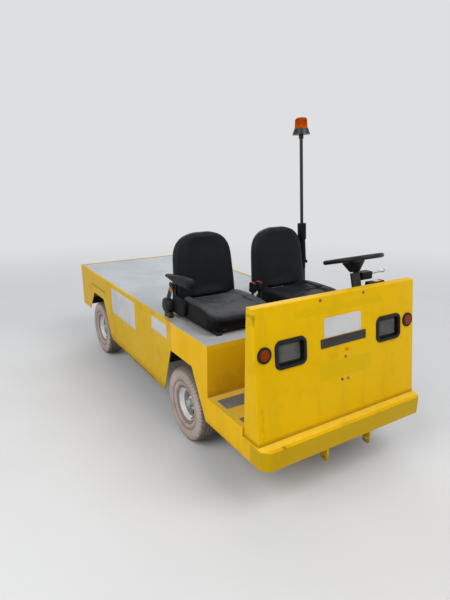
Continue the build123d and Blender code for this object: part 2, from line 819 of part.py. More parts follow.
# Drag link above its arms, from the left knuckle forward to the steering gear
drag_z = arm_z_high + ear_thick / 2 + 0.5 + eye_height / 2
with BuildPart() as drag_link:
    with Locations(((front_axle_x + gear_x) / 2, drag_pin_y, drag_z)):
        Cylinder(link_r, gear_x - front_axle_x, rotation=(0, 90, 0))
    for x in (front_axle_x, gear_x):
        with Locations((x, drag_pin_y, drag_z)):
            Cylinder(eye_r, eye_height)
        stud_length = eye_height / 2 + ear_thick - 0.5
        with Locations((x, drag_pin_y, drag_z - stud_length / 2)):
            Cylinder(pin_r, stud_length)
save(drag_link, "drag_link")

# Pitman arm on the gear's output shaft
gear_shaft_r = 12
with BuildPart() as pitman_arm:
    with BuildSketch(Plane.XY.offset(arm_z_high - ear_thick / 2)):
        with Locations((gear_x, (kingpin_y + drag_pin_y) / 2)):
            SlotCenterToCenter(drag_arm, arm_width, rotation=90)
        with Locations((gear_x, drag_pin_y)):
            Circle(pin_r + fit_gap, mode=Mode.SUBTRACT)
    extrude(amount=ear_thick)
    with Locations((gear_x, kingpin_y, (arm_z_high + gear_bottom + gear_shaft_reach) / 2)):
        Cylinder(gear_shaft_r, gear_bottom + gear_shaft_reach - arm_z_high)
save(pitman_arm, "pitman_arm")

# Steering column: jacket tube on the gear housing below the floor
jacket_top = wheel_mid - column_up * (hub_drop + jacket_gap)
jacket_plane = Plane(origin=jacket_top, x_dir=(0, 1, 0), z_dir=column_up)
with BuildPart() as steering_column:
    with BuildSketch(Plane.XY.offset(gear_bottom)):
        with BuildSketch(mode=Mode.PRIVATE) as gear_circles:
            with Locations((gear_x, kingpin_y)):
                Circle(gear_boss_r)
            with Locations((column_foot.X + boss_shift, column_foot.Y)):
                Circle(column_boss_r)
        make_hull(gear_circles.edges())
    extrude(amount=rail_top - gear_bottom)
    with BuildSketch(jacket_plane):
        Circle(jacket_r)
    extrude(amount=-(floor_reach - hub_drop - jacket_gap + jacket_socket))
    with BuildSketch(jacket_plane):
        Circle(shaft_r + fit_gap)
    extrude(amount=-shaft_length - jacket_gap, mode=Mode.SUBTRACT)
    with Locations((gear_x, kingpin_y, gear_bottom + (gear_bore - 1) / 2)):
        Cylinder(gear_shaft_r + fit_gap, gear_bore + 1, mode=Mode.SUBTRACT)
save(steering_column, "steering_column")

# Steering wheel: grip, three dished spokes, hub and shaft
wheel_plane = Plane(origin=wheel_mid, x_dir=(0, 1, 0), z_dir=column_up)
with BuildPart() as steering_wheel:
    grip_radius = steering_wheel_d / 2 - grip_r
    with BuildSketch(Plane(origin=wheel_mid, x_dir=wheel_plane.x_dir, z_dir=wheel_plane.y_dir)):
        with Locations((grip_radius, 0)):
            Circle(grip_r)
    revolve(axis=Axis(wheel_mid, column_up))
    hub_top_r = 62
    with BuildSketch(wheel_plane.offset(-hub_drop)):
        Circle(jacket_r)
    with BuildSketch(wheel_plane.offset(-18)):
        Circle(hub_top_r)
    loft()
    with BuildSketch(wheel_plane.offset(-18)):
        Circle(hub_top_r)
    extrude(amount=14, taper=30)
    for turn in (90, 210, 330):
        with BuildSketch(wheel_plane.offset(-12)):
            with PolarLocations(0, 1, start_angle=turn):
                with Locations((grip_radius / 2 + 20, 0)):
                    Rectangle(grip_radius - 40, 26)
        extrude(amount=8)
    with BuildSketch(wheel_plane.offset(-hub_drop)):
        Circle(shaft_r)
    extrude(amount=-shaft_length)
save(steering_wheel, "steering_wheel")

# Direction lever: switch box on the column with a bright lever
switch_drop = 98
switch_width = 56
switch_height = 44
switch_length = 78
lever_r = 5
lever_reach = 206
switch_mid = wheel_mid - column_up * switch_drop
box_y = wheel_mid.Y + jacket_r + fit_gap
with BuildPart() as direction_lever:
    with BuildSketch(Plane(origin=(switch_mid.X, box_y, switch_mid.Z), x_dir=(1, 0, 0), z_dir=(0, 1, 0))):
        RectangleRounded(switch_width, switch_height, 8)
    extrude(amount=switch_length)
    lever_start = Vector(switch_mid.X, box_y + switch_length - 8, switch_mid.Z + 4)
    lever_end = Vector(switch_mid.X - 8, box_y + lever_reach, switch_mid.Z + 6)
    lever_dir = (lever_end - lever_start).normalized()
    with BuildSketch(Plane(origin=lever_start, x_dir=(1, 0, 0), z_dir=lever_dir)):
        Circle(lever_r)
    extrude(amount=(lever_end - lever_start).length)
    with Locations(lever_end):
        Sphere(2 * lever_r)
save(direction_lever, "direction_lever")

# Pedals: brake and accelerator, on brackets on the floor
pedal_table = (
    # distance inboard of the column, pad width, pad height
    (75, 72, 58),
    (158, 56, 92),
)
pedal_x = 1365
pedal_rise = 120
pedal_lean = (-0.45, 0, 0.893)
pad_facing = (-0.82, 0, 0.572)
pad_thick = 8
bracket_height = 28
with BuildPart() as pedals:
    for inboard, pad_width, pad_height in pedal_table:
        pedal_y = wheel_mid.Y - inboard
        with Locations((pedal_x, pedal_y, floor_top + bracket_height / 2)):
            Box(46, 34, bracket_height)
        stem_foot = Vector(pedal_x, pedal_y, floor_top + bracket_height - 10)
        with BuildSketch(Plane(origin=stem_foot, x_dir=(0, 1, 0), z_dir=pedal_lean)):
            Rectangle(12, 10)
        extrude(amount=pedal_rise)
        pad_foot = stem_foot + Vector(*pedal_lean) * pedal_rise
        with BuildSketch(Plane(origin=pad_foot, x_dir=(0, 1, 0), z_dir=pad_facing)):
            RectangleRounded(pad_width, pad_height, 8)
        extrude(amount=pad_thick)
save(pedals, "pedals")

# Wheels: one profile turned for the rim, one for the tyre
rim_half = rim_width / 2
disc_y = 10


def wheel_plane_at(axle_x, side):
    """Plane through the wheel's axle; its X runs outboard along the axle, its Y upward."""
    return Plane(origin=(axle_x, side * wheel_y, axle_z), x_dir=(0, side, 0), z_dir=(side, 0, 0))


def make_rim(axle_x, side, has_drum):
    """Steel rim with a dished disc, hub and dust cap; rear rims carry a brake drum."""
    section = (
        # outboard distance from the wheel's middle, radius
        (-rim_half, rim_flange_r),
        (-rim_half + rim_wall, rim_flange_r),
        (-rim_half + rim_wall, rim_barrel_r + rim_wall),
        (rim_half - rim_wall, rim_barrel_r + rim_wall),
        (rim_half - rim_wall, rim_flange_r),
        (rim_half, rim_flange_r),
        (rim_half, rim_barrel_r),
        (disc_y + 14, rim_barrel_r),
        (disc_y + 12, rim_barrel_r - 14),
        (disc_y, rim_barrel_r - 26),
        (disc_y, hub_cap_r),
        (disc_y + 22, hub_cap_r),
        (disc_y + 34, hub_cap_r - 12),
        (disc_y + 36, 0),
        (spindle_overhang + 6, 0),
        (spindle_overhang + 6, spindle_r + spindle_gap),
        (-hub_back, spindle_r + spindle_gap),
        (-hub_back, hub_r),
        (disc_y - 5, hub_r),
        (disc_y - 5, rim_barrel_r - 24),
        (disc_y + 7, rim_barrel_r - 12),
        (disc_y + 9, rim_barrel_r),
        (-rim_half, rim_barrel_r),
    )
    with BuildPart() as rim:
        with BuildSketch(wheel_plane_at(axle_x, side)):
            with BuildLine():
                Polyline(*section, close=True)
            make_face()
        revolve(axis=Axis((axle_x, side * wheel_y, axle_z), (0, 1, 0)))
        disc_face = Plane(
            origin=(axle_x, side * (wheel_y + disc_y - 1), axle_z), x_dir=(side, 0, 0), z_dir=(0, side, 0)
        )
        with BuildSketch(disc_face):
            with PolarLocations(stud_circle_r, stud_count):
                RegularPolygon(nut_r, 6)
        extrude(amount=nut_height)
        if has_drum:
            with BuildSketch(wheel_plane_at(axle_x, side)):
                with BuildLine():
                    Polyline(
                        (disc_y - 3, hub_r - 2),
                        (disc_y - 3, drum_r - drum_shoulder),
                        (disc_y - drum_shoulder, drum_r),
                        (-drum_back, drum_r),
                        (-drum_back, drum_r - drum_wall),
                        (disc_y - drum_shoulder - 4, drum_r - drum_wall),
                        (disc_y - drum_shoulder - 4, hub_r - 2),
                        close=True,
                    )
                make_face()
            revolve(axis=Axis((axle_x, side * wheel_y, axle_z), (0, 1, 0)))
    return rim


def make_tyre(axle_x, side):
    """Road tyre with a crowned tread, a rounded shoulder and one moulded ring on each sidewall."""
    half = tyre_width / 2
    tread = tread_width / 2
    bead = rim_half - rim_wall - fit_gap
    bore = rim_barrel_r + rim_wall + fit_gap
    shoulder_r = tyre_r - shoulder_drop
    over_flange = rim_flange_r + fit_gap
    with BuildPart() as tyre:
        with BuildSketch(wheel_plane_at(axle_x, side)):
            with BuildLine():
                ThreePointArc((-tread, tyre_r - crown_drop), (0, tyre_r), (tread, tyre_r - crown_drop))
                for turn in (-1, 1):
                    Line((turn * tread, tyre_r - crown_drop), (turn * (half - 6), shoulder_r))
                    ThreePointArc(
                        (turn * (half - 6), shoulder_r),
                        (turn * half, shoulder_r - 28),
                        (turn * (half - 3), ring_r),
                    )
                    Line((turn * (half - 3), ring_r), (turn * (half - 7), ring_r - 5))
                    ThreePointArc(
                        (turn * (half - 7), ring_r - 5),
                        (turn * (half - 12), rim_flange_r + 18),
                        (turn * rim_half, over_flange),
                    )
                    Polyline((turn * rim_half, over_flange), (turn * bead, over_flange), (turn * bead, bore))
                Line((-bead, bore), (bead, bore))
            make_face()
        revolve(axis=Axis((axle_x, side * wheel_y, axle_z), (0, 1, 0)))
    return tyre


for axle_x, end_name in spring_axles:
    for side_name, side in (("right", -1), ("left", 1)):
        save(make_rim(axle_x, side, end_name == "rear"), f"rim_{end_name}_{side_name}")
        save(make_tyre(axle_x, side), f"tyre_{end_name}_{side_name}")

# Seat frames: slide rails, pan and the strap that carries the back
seat_table = (
    # side, foot of the back's front face
    ("right", -1, passenger_back_x),
    ("left", 1, driver_back_x),
)
pan_thick = 4
pan_z = cushion_z0 - pan_thick - fit_gap
pan_bracket = 30
slide_inset = 65
slide_y = seat_half_width - slide_inset
slide_width = 32
strap_y = 110
strap_width = 60
strap_height = 340
strap_thick = 5
lean = math.radians(back_lean)


def back_plane(side, back_x, offset=0):
    """Plane on the back's front face, at its foot; its own Y runs up the back."""
    normal = Vector(math.cos(lean), 0, math.sin(lean))
    origin = Vector(back_x, side * seat_y, back_z0) + normal * offset
    return Plane(origin=origin, x_dir=(0, 1, 0), z_dir=normal)


with BuildPart() as seat_frames:
    for side_name, side, back_x in seat_table:
        slide_x = back_x + cushion_length / 2 + 8
        for dy in (-slide_y, slide_y):
            with Locations((slide_x, side * seat_y + dy, (deck_top + pan_z) / 2)):
                Box(cushion_length - 40, slide_width, pan_z - deck_top)
        pan_x0 = back_x - back_thick - 22
        pan_x1 = back_x + cushion_length - pan_bracket
        with Locations(((pan_x0 + pan_x1) / 2, side * seat_y, pan_z + pan_thick / 2)):
            Box(pan_x1 - pan_x0, 2 * (seat_half_width - pan_bracket), pan_thick)
        for dy in (-strap_y, strap_y):
            with BuildSketch(back_plane(side, back_x, -back_thick - fit_gap)):
                with Locations((dy, strap_height / 2 - 100)):
                    Rectangle(strap_width, strap_height)
            extrude(amount=-strap_thick)
        bracket_top = cushion_z0 + pan_bracket
        with Locations((pan_x0 + pan_bracket / 2, side * seat_y, (pan_z + bracket_top) / 2)):
            Box(pan_bracket, 2 * strap_y + strap_width, bracket_top - pan_z)
save(seat_frames, "seat_frames")

# Cushions and backs: plain closed forms of the soft parts
for side_name, side, back_x in seat_table:
    cushion_x0 = back_x + 3
    with BuildPart() as seat_cushion:
        with BuildSketch(Plane.YZ.offset(cushion_x0)):
            y_mid = side * seat_y
            w = seat_half_width
            with BuildLine():
                Polyline(
                    (y_mid - w, cushion_z0),
                    (y_mid + w, cushion_z0),
                    (y_mid + w, cushion_z1 + bolster_height - 24),
                    (y_mid + w - 18, cushion_z1 + bolster_height),
                    (y_mid + w - bolster_width + 14, cushion_z1 + bolster_height),
                    (y_mid + w - bolster_width - 22, cushion_z1),
                    (y_mid - w + bolster_width + 22, cushion_z1),
                    (y_mid - w + bolster_width - 14, cushion_z1 + bolster_height),
                    (y_mid - w + 18, cushion_z1 + bolster_height),
                    (y_mid - w, cushion_z1 + bolster_height - 24),
                    close=True,
                )
            make_face()
        extrude(amount=cushion_length)
        with BuildSketch(Plane.XZ.offset(-side * seat_y - 2 * seat_half_width)):
            nose_x = cushion_x0 + cushion_length
            with BuildLine():
                Polyline(
                    (nose_x - 110, cushion_z1 + bolster_height + 1),
                    (nose_x - 34, cushion_z1 - 8),
                    (nose_x, cushion_z1 - 40),
                    (nose_x + 1, cushion_z1 + bolster_height + 1),
                    close=True,
                )
            make_face()
        extrude(amount=4 * seat_half_width, mode=Mode.SUBTRACT)
    save(seat_cushion, f"seat_cushion_{side_name}")

    with BuildPart() as seat_back:
        with BuildSketch(back_plane(side, back_x)) as outline:
            with BuildLine():
                Polyline(
                    (-seat_half_width, 0),
                    (seat_half_width, 0),
                    (back_waist, back_shoulder_z),
                    (back_top_half, back_height),
                    (-back_top_half, back_height),
                    (-back_waist, back_shoulder_z),
                    close=True,
                )
            make_face()
            corner_radii = (
                # height, radius
                (back_shoulder_z, back_shoulder_r),
                (back_height, back_shoulder_r / 2),
                (0, back_foot_r),
            )
            for level, radius in corner_radii:
                fillet([v for v in outline.vertices() if abs(v.Y - level) < 1], radius)
        extrude(amount=-back_thick)
        front_loop = seat_back.faces().sort_by(Axis.X)[-1].edges()
        fillet(front_loop, 26)
    save(seat_back, f"seat_back_{side_name}")

# Armrest on the passenger's outer side
arm_inner_y = -(seat_y + seat_half_width + 4)
armrest_pad_x0 = 411
armrest_length = 326
armrest_width = 54
armrest_depth = 56
armrest_z = 1008
armrest_tilt = 4.6
arm_strap = 6
arm_strap_width = 44
arm_strap_x = 437
with BuildPart() as armrest:
    pad_dir = (math.cos(math.radians(armrest_tilt)), 0, math.sin(math.radians(armrest_tilt)))
    pad_y = arm_inner_y - arm_strap - armrest_width / 2
    pad_plane = Plane(origin=(armrest_pad_x0, pad_y, armrest_z - 13), x_dir=(0, 1, 0), z_dir=pad_dir)
    with BuildSketch(pad_plane):
        RectangleRounded(armrest_width, armrest_depth, 18)
    extrude(amount=armrest_length)
    strap_foot = pan_z - arm_strap
    with Locations((arm_strap_x, arm_inner_y - arm_strap / 2, (strap_foot + armrest_z) / 2)):
        Box(arm_strap_width, arm_strap, armrest_z - strap_foot)
    foot_y0 = -(seat_y + slide_y + slide_width / 2)
    with Locations((arm_strap_x, (arm_inner_y - arm_strap + foot_y0) / 2, strap_foot + arm_strap / 2)):
        Box(arm_strap_width, foot_y0 - arm_inner_y + arm_strap, arm_strap)
save(armrest, "armrest")

# Belt hardware: a retractor with its webbing and tongue outside, two buckles between the seats
retractor_x = 392
retractor_inset = 41
retractor_y = -(half_width - retractor_inset)
retractor_size = 90
retractor_thick = 38
retractor_z0 = 770
webbing_width = 46
webbing_thick = 3
webbing_rise = (0.40, 0.075, 0.913)
webbing_length = 112
tongue_length = 30
buckle_x = 600
buckle_y = 25
buckle_head = (52, 24, 66)
buckle_z0 = 872
with BuildPart() as belt_hardware:
    with Locations((retractor_x, retractor_y, retractor_z0 + retractor_size / 2)):
        Box(retractor_size, retractor_thick, retractor_size)
    with Locations((retractor_x, retractor_y, (deck_top + retractor_z0 + 5) / 2)):
        Box(retractor_size - 30, retractor_thick - 8, retractor_z0 + 5 - deck_top)
    webbing_foot = Vector(retractor_x, retractor_y, retractor_z0 + retractor_size - 6)
    with BuildSketch(Plane(origin=webbing_foot, x_dir=(1, 0, 0), z_dir=webbing_rise)):
        Rectangle(webbing_width, webbing_thick)
    extrude(amount=webbing_length)
    webbing_end = webbing_foot + Vector(*webbing_rise) * (webbing_length - tongue_length)
    with BuildSketch(Plane(origin=webbing_end, x_dir=(1, 0, 0), z_dir=webbing_rise)):
        Rectangle(webbing_width + 8, 4 * webbing_thick)
    extrude(amount=tongue_length)
    for side in sides:
        with Locations((buckle_x, side * buckle_y, (deck_top + buckle_z0 + 8) / 2)):
            Box(26, 6, buckle_z0 + 8 - deck_top)
        with Locations((buckle_x, side * buckle_y, buckle_z0 + buckle_head[2] / 2)):
            Box(*buckle_head)
    fillet(belt_hardware.edges().filter_by(Axis.Z).filter_by(lambda e: e.center().Z > buckle_z0 + 20), 3)
save(belt_hardware, "belt_hardware")

# Beacon mast: foot plate, sleeve, pole and lamp base
lean_back = math.tan(math.radians(mast_lean_back))
lean_in = math.tan(math.radians(mast_lean_in))
mast_up = Vector(-lean_back, -lean_in, 1).normalized()
mast_foot = Vector(mast_x, mast_y, deck_top)
mast_plane = Plane(origin=mast_foot, x_dir=(0, 1, 0), z_dir=mast_up)
foot_plate = 8
foot_length = 100
with BuildPart() as beacon_mast:
    with BuildSketch(mast_plane):
        Circle(sleeve_r)
    extrude(amount=sleeve_length)
    with BuildSketch(mast_plane):
        Circle(pole_r)
    extrude(amount=pole_length)
    split(bisect_by=Plane.XY.offset(mast_foot.Z + foot_plate / 2), keep=Keep.TOP)
    plate_y1 = half_width - edge_flange - fit_gap
    plate_y0 = mast_y - 40
    with Locations((mast_x, (plate_y0 + plate_y1) / 2, mast_foot.Z + foot_plate / 2)):
        Box(foot_length, plate_y1 - plate_y0, foot_plate)
    with BuildSketch(mast_plane.offset(pole_length)):
        Circle(beacon_base_r)
    skirt_slope = math.degrees(math.atan2(beacon_base_r - beacon_lens_r - 3, beacon_base_h))
    extrude(amount=beacon_base_h, taper=skirt_slope)
    with BuildSketch(mast_plane.offset(pole_length - beacon_socket)):
        Circle(pole_r + 5)
    extrude(amount=beacon_socket)
save(beacon_mast, "beacon_mast")

with BuildPart() as beacon_lens:
    with BuildSketch(mast_plane.offset(pole_length + beacon_base_h)):
        Circle(beacon_lens_r)
    extrude(amount=beacon_lens_h, taper=3)
    fillet(beacon_lens.faces().sort_by(Axis.Z)[-1].edges(), 14)
save(beacon_lens, "beacon_lens")
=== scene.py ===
import math

import bpy
import numpy as np
from mathutils import Matrix, Vector


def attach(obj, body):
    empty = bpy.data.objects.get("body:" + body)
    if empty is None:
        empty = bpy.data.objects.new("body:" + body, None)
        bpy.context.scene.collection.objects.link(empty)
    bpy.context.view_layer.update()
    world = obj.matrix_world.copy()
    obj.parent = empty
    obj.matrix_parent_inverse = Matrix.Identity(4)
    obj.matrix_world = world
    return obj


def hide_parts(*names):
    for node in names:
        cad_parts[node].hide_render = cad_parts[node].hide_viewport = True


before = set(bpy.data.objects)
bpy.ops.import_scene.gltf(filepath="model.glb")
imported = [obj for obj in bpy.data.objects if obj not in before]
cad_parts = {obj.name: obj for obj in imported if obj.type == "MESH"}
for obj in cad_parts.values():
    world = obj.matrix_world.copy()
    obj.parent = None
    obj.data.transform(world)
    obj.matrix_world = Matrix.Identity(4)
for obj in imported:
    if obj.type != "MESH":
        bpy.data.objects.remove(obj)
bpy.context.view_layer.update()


def mm(*rows):
    """Rows of lengths written in millimetres, as an array in metres."""
    return np.array(rows, float) / 1000


def unit(vectors):
    """Vectors scaled to length one."""
    vectors = np.asarray(vectors, float)
    return vectors / np.linalg.norm(vectors, axis=-1, keepdims=True)


def leaning(angle):
    """The outward and the upward direction of a face that leans back by an angle."""
    return np.array((math.cos(angle), 0.0, math.sin(angle))), np.array((-math.sin(angle), 0.0, math.cos(angle)))


# Places and sizes shared with the vehicle's own frame, in metres
X, Y, Z = np.eye(3)
SIDES = {"right": -1, "left": 1}
HALF_WIDTH = 0.56
TAIL_X = -1.48
DECK_Z = 0.738
FLOOR_Z = 0.432
AXLES = {"front": 0.622, "rear": -1.022}
WHEEL_R = 0.2335
WHEEL_Y = 0.476
WHEELS = {f"{end}_{name}": (end, side, np.array((x, side * WHEEL_Y, WHEEL_R)))
          for end, x in AXLES.items() for name, side in SIDES.items()}
LUGS = 60
COWL_FOOT = (1.4177, 0.384)
COWL_HEAD = (1.339, 1.041)
COWL_LEAN = math.atan2(COWL_FOOT[0] - COWL_HEAD[0], COWL_HEAD[1] - COWL_FOOT[1])
COWL_OUT, COWL_UP = leaning(COWL_LEAN)
LAMP_Y, LAMP_Z = 0.34, 0.801
SEAT_Y = 0.275
BACK_FOOT = {"right": 0.475, "left": 0.525}
MAST_FOOT = np.array((0.452, 0.523, DECK_Z))
MAST_UP = unit((-math.tan(math.radians(3.25)), -math.tan(math.radians(1.25)), 1))
RETRACTOR = np.array((0.388, -0.519, 0.811))


# Shapes
def skin(rings, tube=False):
    """Points and faces over a grid: each row of rings is a loop, and rows join in order. Fans close the first
    and last loop at their middles, or a tube joins its last row to its first.
    The faces are turned so that the volume they enclose is positive."""
    rows, count = rings.shape[:2]
    points = rings.reshape(-1, 3)
    index = np.arange(rows * count).reshape(rows, count)
    nxt = np.roll(index, -1, axis=1)
    quads = np.stack([index, nxt, np.roll(nxt, -1, axis=0), np.roll(index, -1, axis=0)], axis=-1)
    quads = (quads if tube else quads[:-1]).reshape(-1, 4)
    fans = np.empty((0, 3), int)
    if not tube:
        points = np.vstack([points, rings[0].mean(axis=0), rings[-1].mean(axis=0)])
        low_fan = np.stack([nxt[0], index[0], np.full(count, rows * count)], axis=-1)
        high_fan = np.stack([index[-1], nxt[-1], np.full(count, rows * count + 1)], axis=-1)
        fans = np.vstack([low_fan, high_fan])
    triangles = np.vstack([quads[:, [0, 1, 2]], quads[:, [0, 2, 3]], fans])
    a, b, c = (points[triangles[:, k]] for k in range(3))
    if np.einsum("ij,ij->i", a, np.cross(b, c)).sum() < 0:
        quads, fans = quads[:, ::-1], fans[:, ::-1]
    return points, quads, fans


def put(name, data):
    """A new object in the scene."""
    made = bpy.data.objects.new(name, data)
    bpy.context.scene.collection.objects.link(made)
    return made


def piece(name, skins, material, body="chassis", replaces=(), crease=40):
    """One mesh object made of the given skins, smooth where faces meet less sharply than crease degrees."""
    points, faces, start = [], [], 0
    for part_points, quads, fans in skins:
        points.append(part_points)
        faces += (quads + start).tolist() + (fans + start).tolist()
        start += len(part_points)
    mesh = bpy.data.meshes.new(name)
    mesh.from_pydata(np.vstack(points).tolist(), [], faces)
    mesh.polygons.foreach_set("use_smooth", np.ones(len(faces), bool))
    mesh.set_sharp_from_angle(angle=math.radians(crease))
    mesh.materials.append(material)
    made = put(name, mesh)
    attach(made, body)
    if replaces:
        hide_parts(*replaces)
    return made


def around(count):
    """Angles all the way round, evenly spaced."""
    return np.linspace(0, 2 * math.pi, count, endpoint=False)


def circle(axis, hint, angle):
    """Directions round an axis, one for each angle, the first of them square to the hint."""
    side = unit(np.cross(axis, hint))
    return np.cos(angle)[:, None] * side + np.sin(angle)[:, None] * np.cross(axis, side)


def outline(width, height, radius, inset=0, arc=7, run=0):
    """Rounded rectangle, moved inwards by inset: half sides less the radius times the corner signs, plus the
    arc. Each quarter is an arc of some steps, then a straight run of points to the next corner."""
    signs, turns = [], []
    corners = np.array(((1, 1), (-1, 1), (-1, -1), (1, -1)), float)
    share = (np.arange(1, run + 1) / (run + 1))[:, None]
    for quarter, corner in enumerate(corners):
        angle = np.radians(90 * quarter + np.linspace(0, 90, arc))
        turns.append(np.stack([np.cos(angle), np.sin(angle)], axis=-1))
        turns.append(np.repeat(turns[-1][-1:], run, axis=0))
        signs.append(np.repeat(corner[None], arc, axis=0))
        signs.append(corner * (1 - share) + corners[(quarter + 1) % 4] * share)
    bend = max(radius - inset, 1e-5)
    half = np.array((width / 2 - inset, height / 2 - inset))
    return (half - bend) * np.vstack(signs) + bend * np.vstack(turns)


def plate(origin, across, up, width, height, radius, layers, arc=7):
    """A flat or domed plate: rounded rectangles, each moved in by an inset and out along the normal by a
    lift."""
    normal = np.cross(across, up)
    rings = []
    for inset, lift in layers:
        flat = outline(width, height, radius, inset, arc)
        rings.append(origin + flat[:, :1] * across + flat[:, 1:] * up + lift * normal)
    return skin(np.array(rings))


def slab(inner, foot, wall, bevel, top):
    """Layers of a flat plate with a bevelled rim, in millimetres: it stands from foot to top, and both of its
    faces close from inner inwards."""
    return mm((inner, foot), (0, foot), (0, wall), (bevel, top), (inner, top))


def turned(origin, axis, profile, segments=48, closed=False):
    """A turned form: each (distance along the axis, radius) of the profile swept round in a circle."""
    axis = unit(axis)
    ring = circle(axis, Z if abs(axis[2]) < 0.9 else X, around(segments))
    return skin(origin + profile[:, None, :1] * axis + profile[:, None, 1:] * ring, tube=closed)


def swept(path, section, twist=Z):
    """A closed section carried along a path; its first coordinate lies across, its second along the twist."""
    along = unit(np.gradient(path, axis=0))
    across = unit(np.cross(along, twist))
    lift = np.cross(across, along)
    return skin(path[:, None] + section[:, :1] * across[:, None] + section[:, 1:] * lift[:, None])


def step(value, low, high):
    """Smooth step: 0 below low, 1 above high, and 3t^2 - 2t^3 between."""
    t = np.clip((value - low) / (high - low), 0, 1)
    return t * t * (3 - 2 * t)


def hill(distance, width):
    """A bell curve: 1 in the middle, and e^-1 one width away."""
    return np.exp(-(distance / width) ** 2)


def squared(value, power):
    """A sine or cosine raised to a power under one, sign kept, which squares a circle."""
    return np.sign(value) * np.abs(value) ** power


def bolt(place, out, radius, height):
    """A washer under a six-sided head; the head's radius is the apothem over the cosine of the angle."""
    angle = around(24)
    ring = circle(out, Y if abs(out[1]) < 0.9 else X, angle)
    flats = math.cos(math.pi / 6) / np.cos(np.mod(angle, math.pi / 3) - math.pi / 6)
    layers = (
        # radius share, lift, follows the head's shape
        (1.45, -0.002, False), (1.45, 0.0016, False), (1.38, 0.002, False), (1, 0.002, True),
        (1, height * 0.8, True), (0.86, height, True),
    )
    return skin(np.array([place + radius * share * ring * (flats[:, None] if shaped else 1) + lift * out
                          for share, lift, shaped in layers]))


def cowl_point(y, z, off=0):
    """A point on the leaning cowl sheet at y and z, moved off along the sheet's normal."""
    share = (z - COWL_FOOT[1]) / (COWL_HEAD[1] - COWL_FOOT[1])
    x = COWL_FOOT[0] + (COWL_HEAD[0] - COWL_FOOT[0]) * share
    return np.array((x, y, z)) + off * COWL_OUT


# Material building
def tone(red, green, blue):
    """A colour as given on screen, as the linear values that materials take."""
    channel = np.array((red, green, blue), float)
    linear = np.where(channel <= 0.04045, channel / 12.92, ((channel + 0.055) / 1.055) ** 2.4)
    return (*linear.tolist(), 1)


def feed(tree, node, sockets):
    """Give each named socket of a node a value or another node's output."""
    for name, value in sockets.items():
        if isinstance(value, bpy.types.NodeSocket):
            tree.links.new(value, node.inputs[name])
        else:
            node.inputs[name].default_value = value
    return node


def add(tree, kind, sockets=None, **options):
    """Put a node into a tree, set its options, and feed its sockets."""
    made = tree.nodes.new("ShaderNode" + kind)
    for name, value in options.items():
        setattr(made, name, value)
    return feed(tree, made, sockets or {})


def calc(tree, operation, a, b=0, clamp=False):
    """One arithmetic step on two values."""
    return add(tree, "Math", {0: a, 1: b}, operation=operation, use_clamp=clamp).outputs[0]


def plus(tree, a, b, clamp=False):
    """The sum of two values."""
    return calc(tree, "ADD", a, b, clamp)


def times(tree, a, b):
    """The product of two values."""
    return calc(tree, "MULTIPLY", a, b)


def vector(tree, operation, a, b=(0, 0, 0)):
    """One arithmetic step on two vectors."""
    return add(tree, "VectorMath", {0: a, 1: b}, operation=operation).outputs[0]


def here(tree):
    """The object's own coordinates."""
    return add(tree, "TexCoord").outputs["Object"]


def split(tree, place):
    """The three coordinates of a place or direction."""
    return add(tree, "SeparateXYZ", {0: place}).outputs


def noise(tree, place, scale, detail, rough=0.5):
    """Cloudy noise between 0 and 1."""
    sockets = {"Vector": place, "Scale": scale, "Detail": detail, "Roughness": rough}
    return add(tree, "TexNoise", sockets).outputs["Fac"]


def fade(tree, value, low, high, out_low=0, out_high=1):
    """Smooth change of a value from one range to another, held at its ends."""
    sockets = {0: value, 1: low, 2: high, 3: out_low, 4: out_high}
    return add(tree, "MapRange", sockets, interpolation_type="SMOOTHSTEP").outputs[0]


def blend(tree, share, a, b):
    """Colour a where share is 0, colour b where it is 1; a colour as given on screen comes as a tuple."""
    a, b = (tone(*colour) if isinstance(colour, tuple) else colour for colour in (a, b))
    return add(tree, "Mix", {0: share, 6: a, 7: b}, data_type="RGBA").outputs[2]


def layered(tree, colour, *layers):
    """Colours laid over the first in turn, each given as (mask, strength, colour) or (mask, colour)."""
    for mask, *strength, over in layers:
        colour = blend(tree, times(tree, mask, *strength) if strength else mask, colour, over)
    return colour


def new_group(name, **inputs):
    """An empty node group, given its inputs with their start values: its tree, and the sockets to read them."""
    tree = bpy.data.node_groups.new(name, "ShaderNodeTree")
    for label, start in inputs.items():
        kind = "NodeSocketVector" if isinstance(start, tuple) else "NodeSocketFloat"
        tree.interface.new_socket(label, in_out="INPUT", socket_type=kind).default_value = start
    return tree, tree.nodes.new("NodeGroupInput").outputs


def close_group(tree, **masks):
    """The named outputs of a node group, each a value between 0 and 1."""
    for label in masks:
        tree.interface.new_socket(label, in_out="OUTPUT", socket_type="NodeSocketFloat")
    feed(tree, tree.nodes.new("NodeGroupOutput"), masks)
    return tree


def use_group(tree, group, **values):
    """Place a group in a material; its outputs are read by name."""
    return add(tree, "Group", values, node_tree=group).outputs


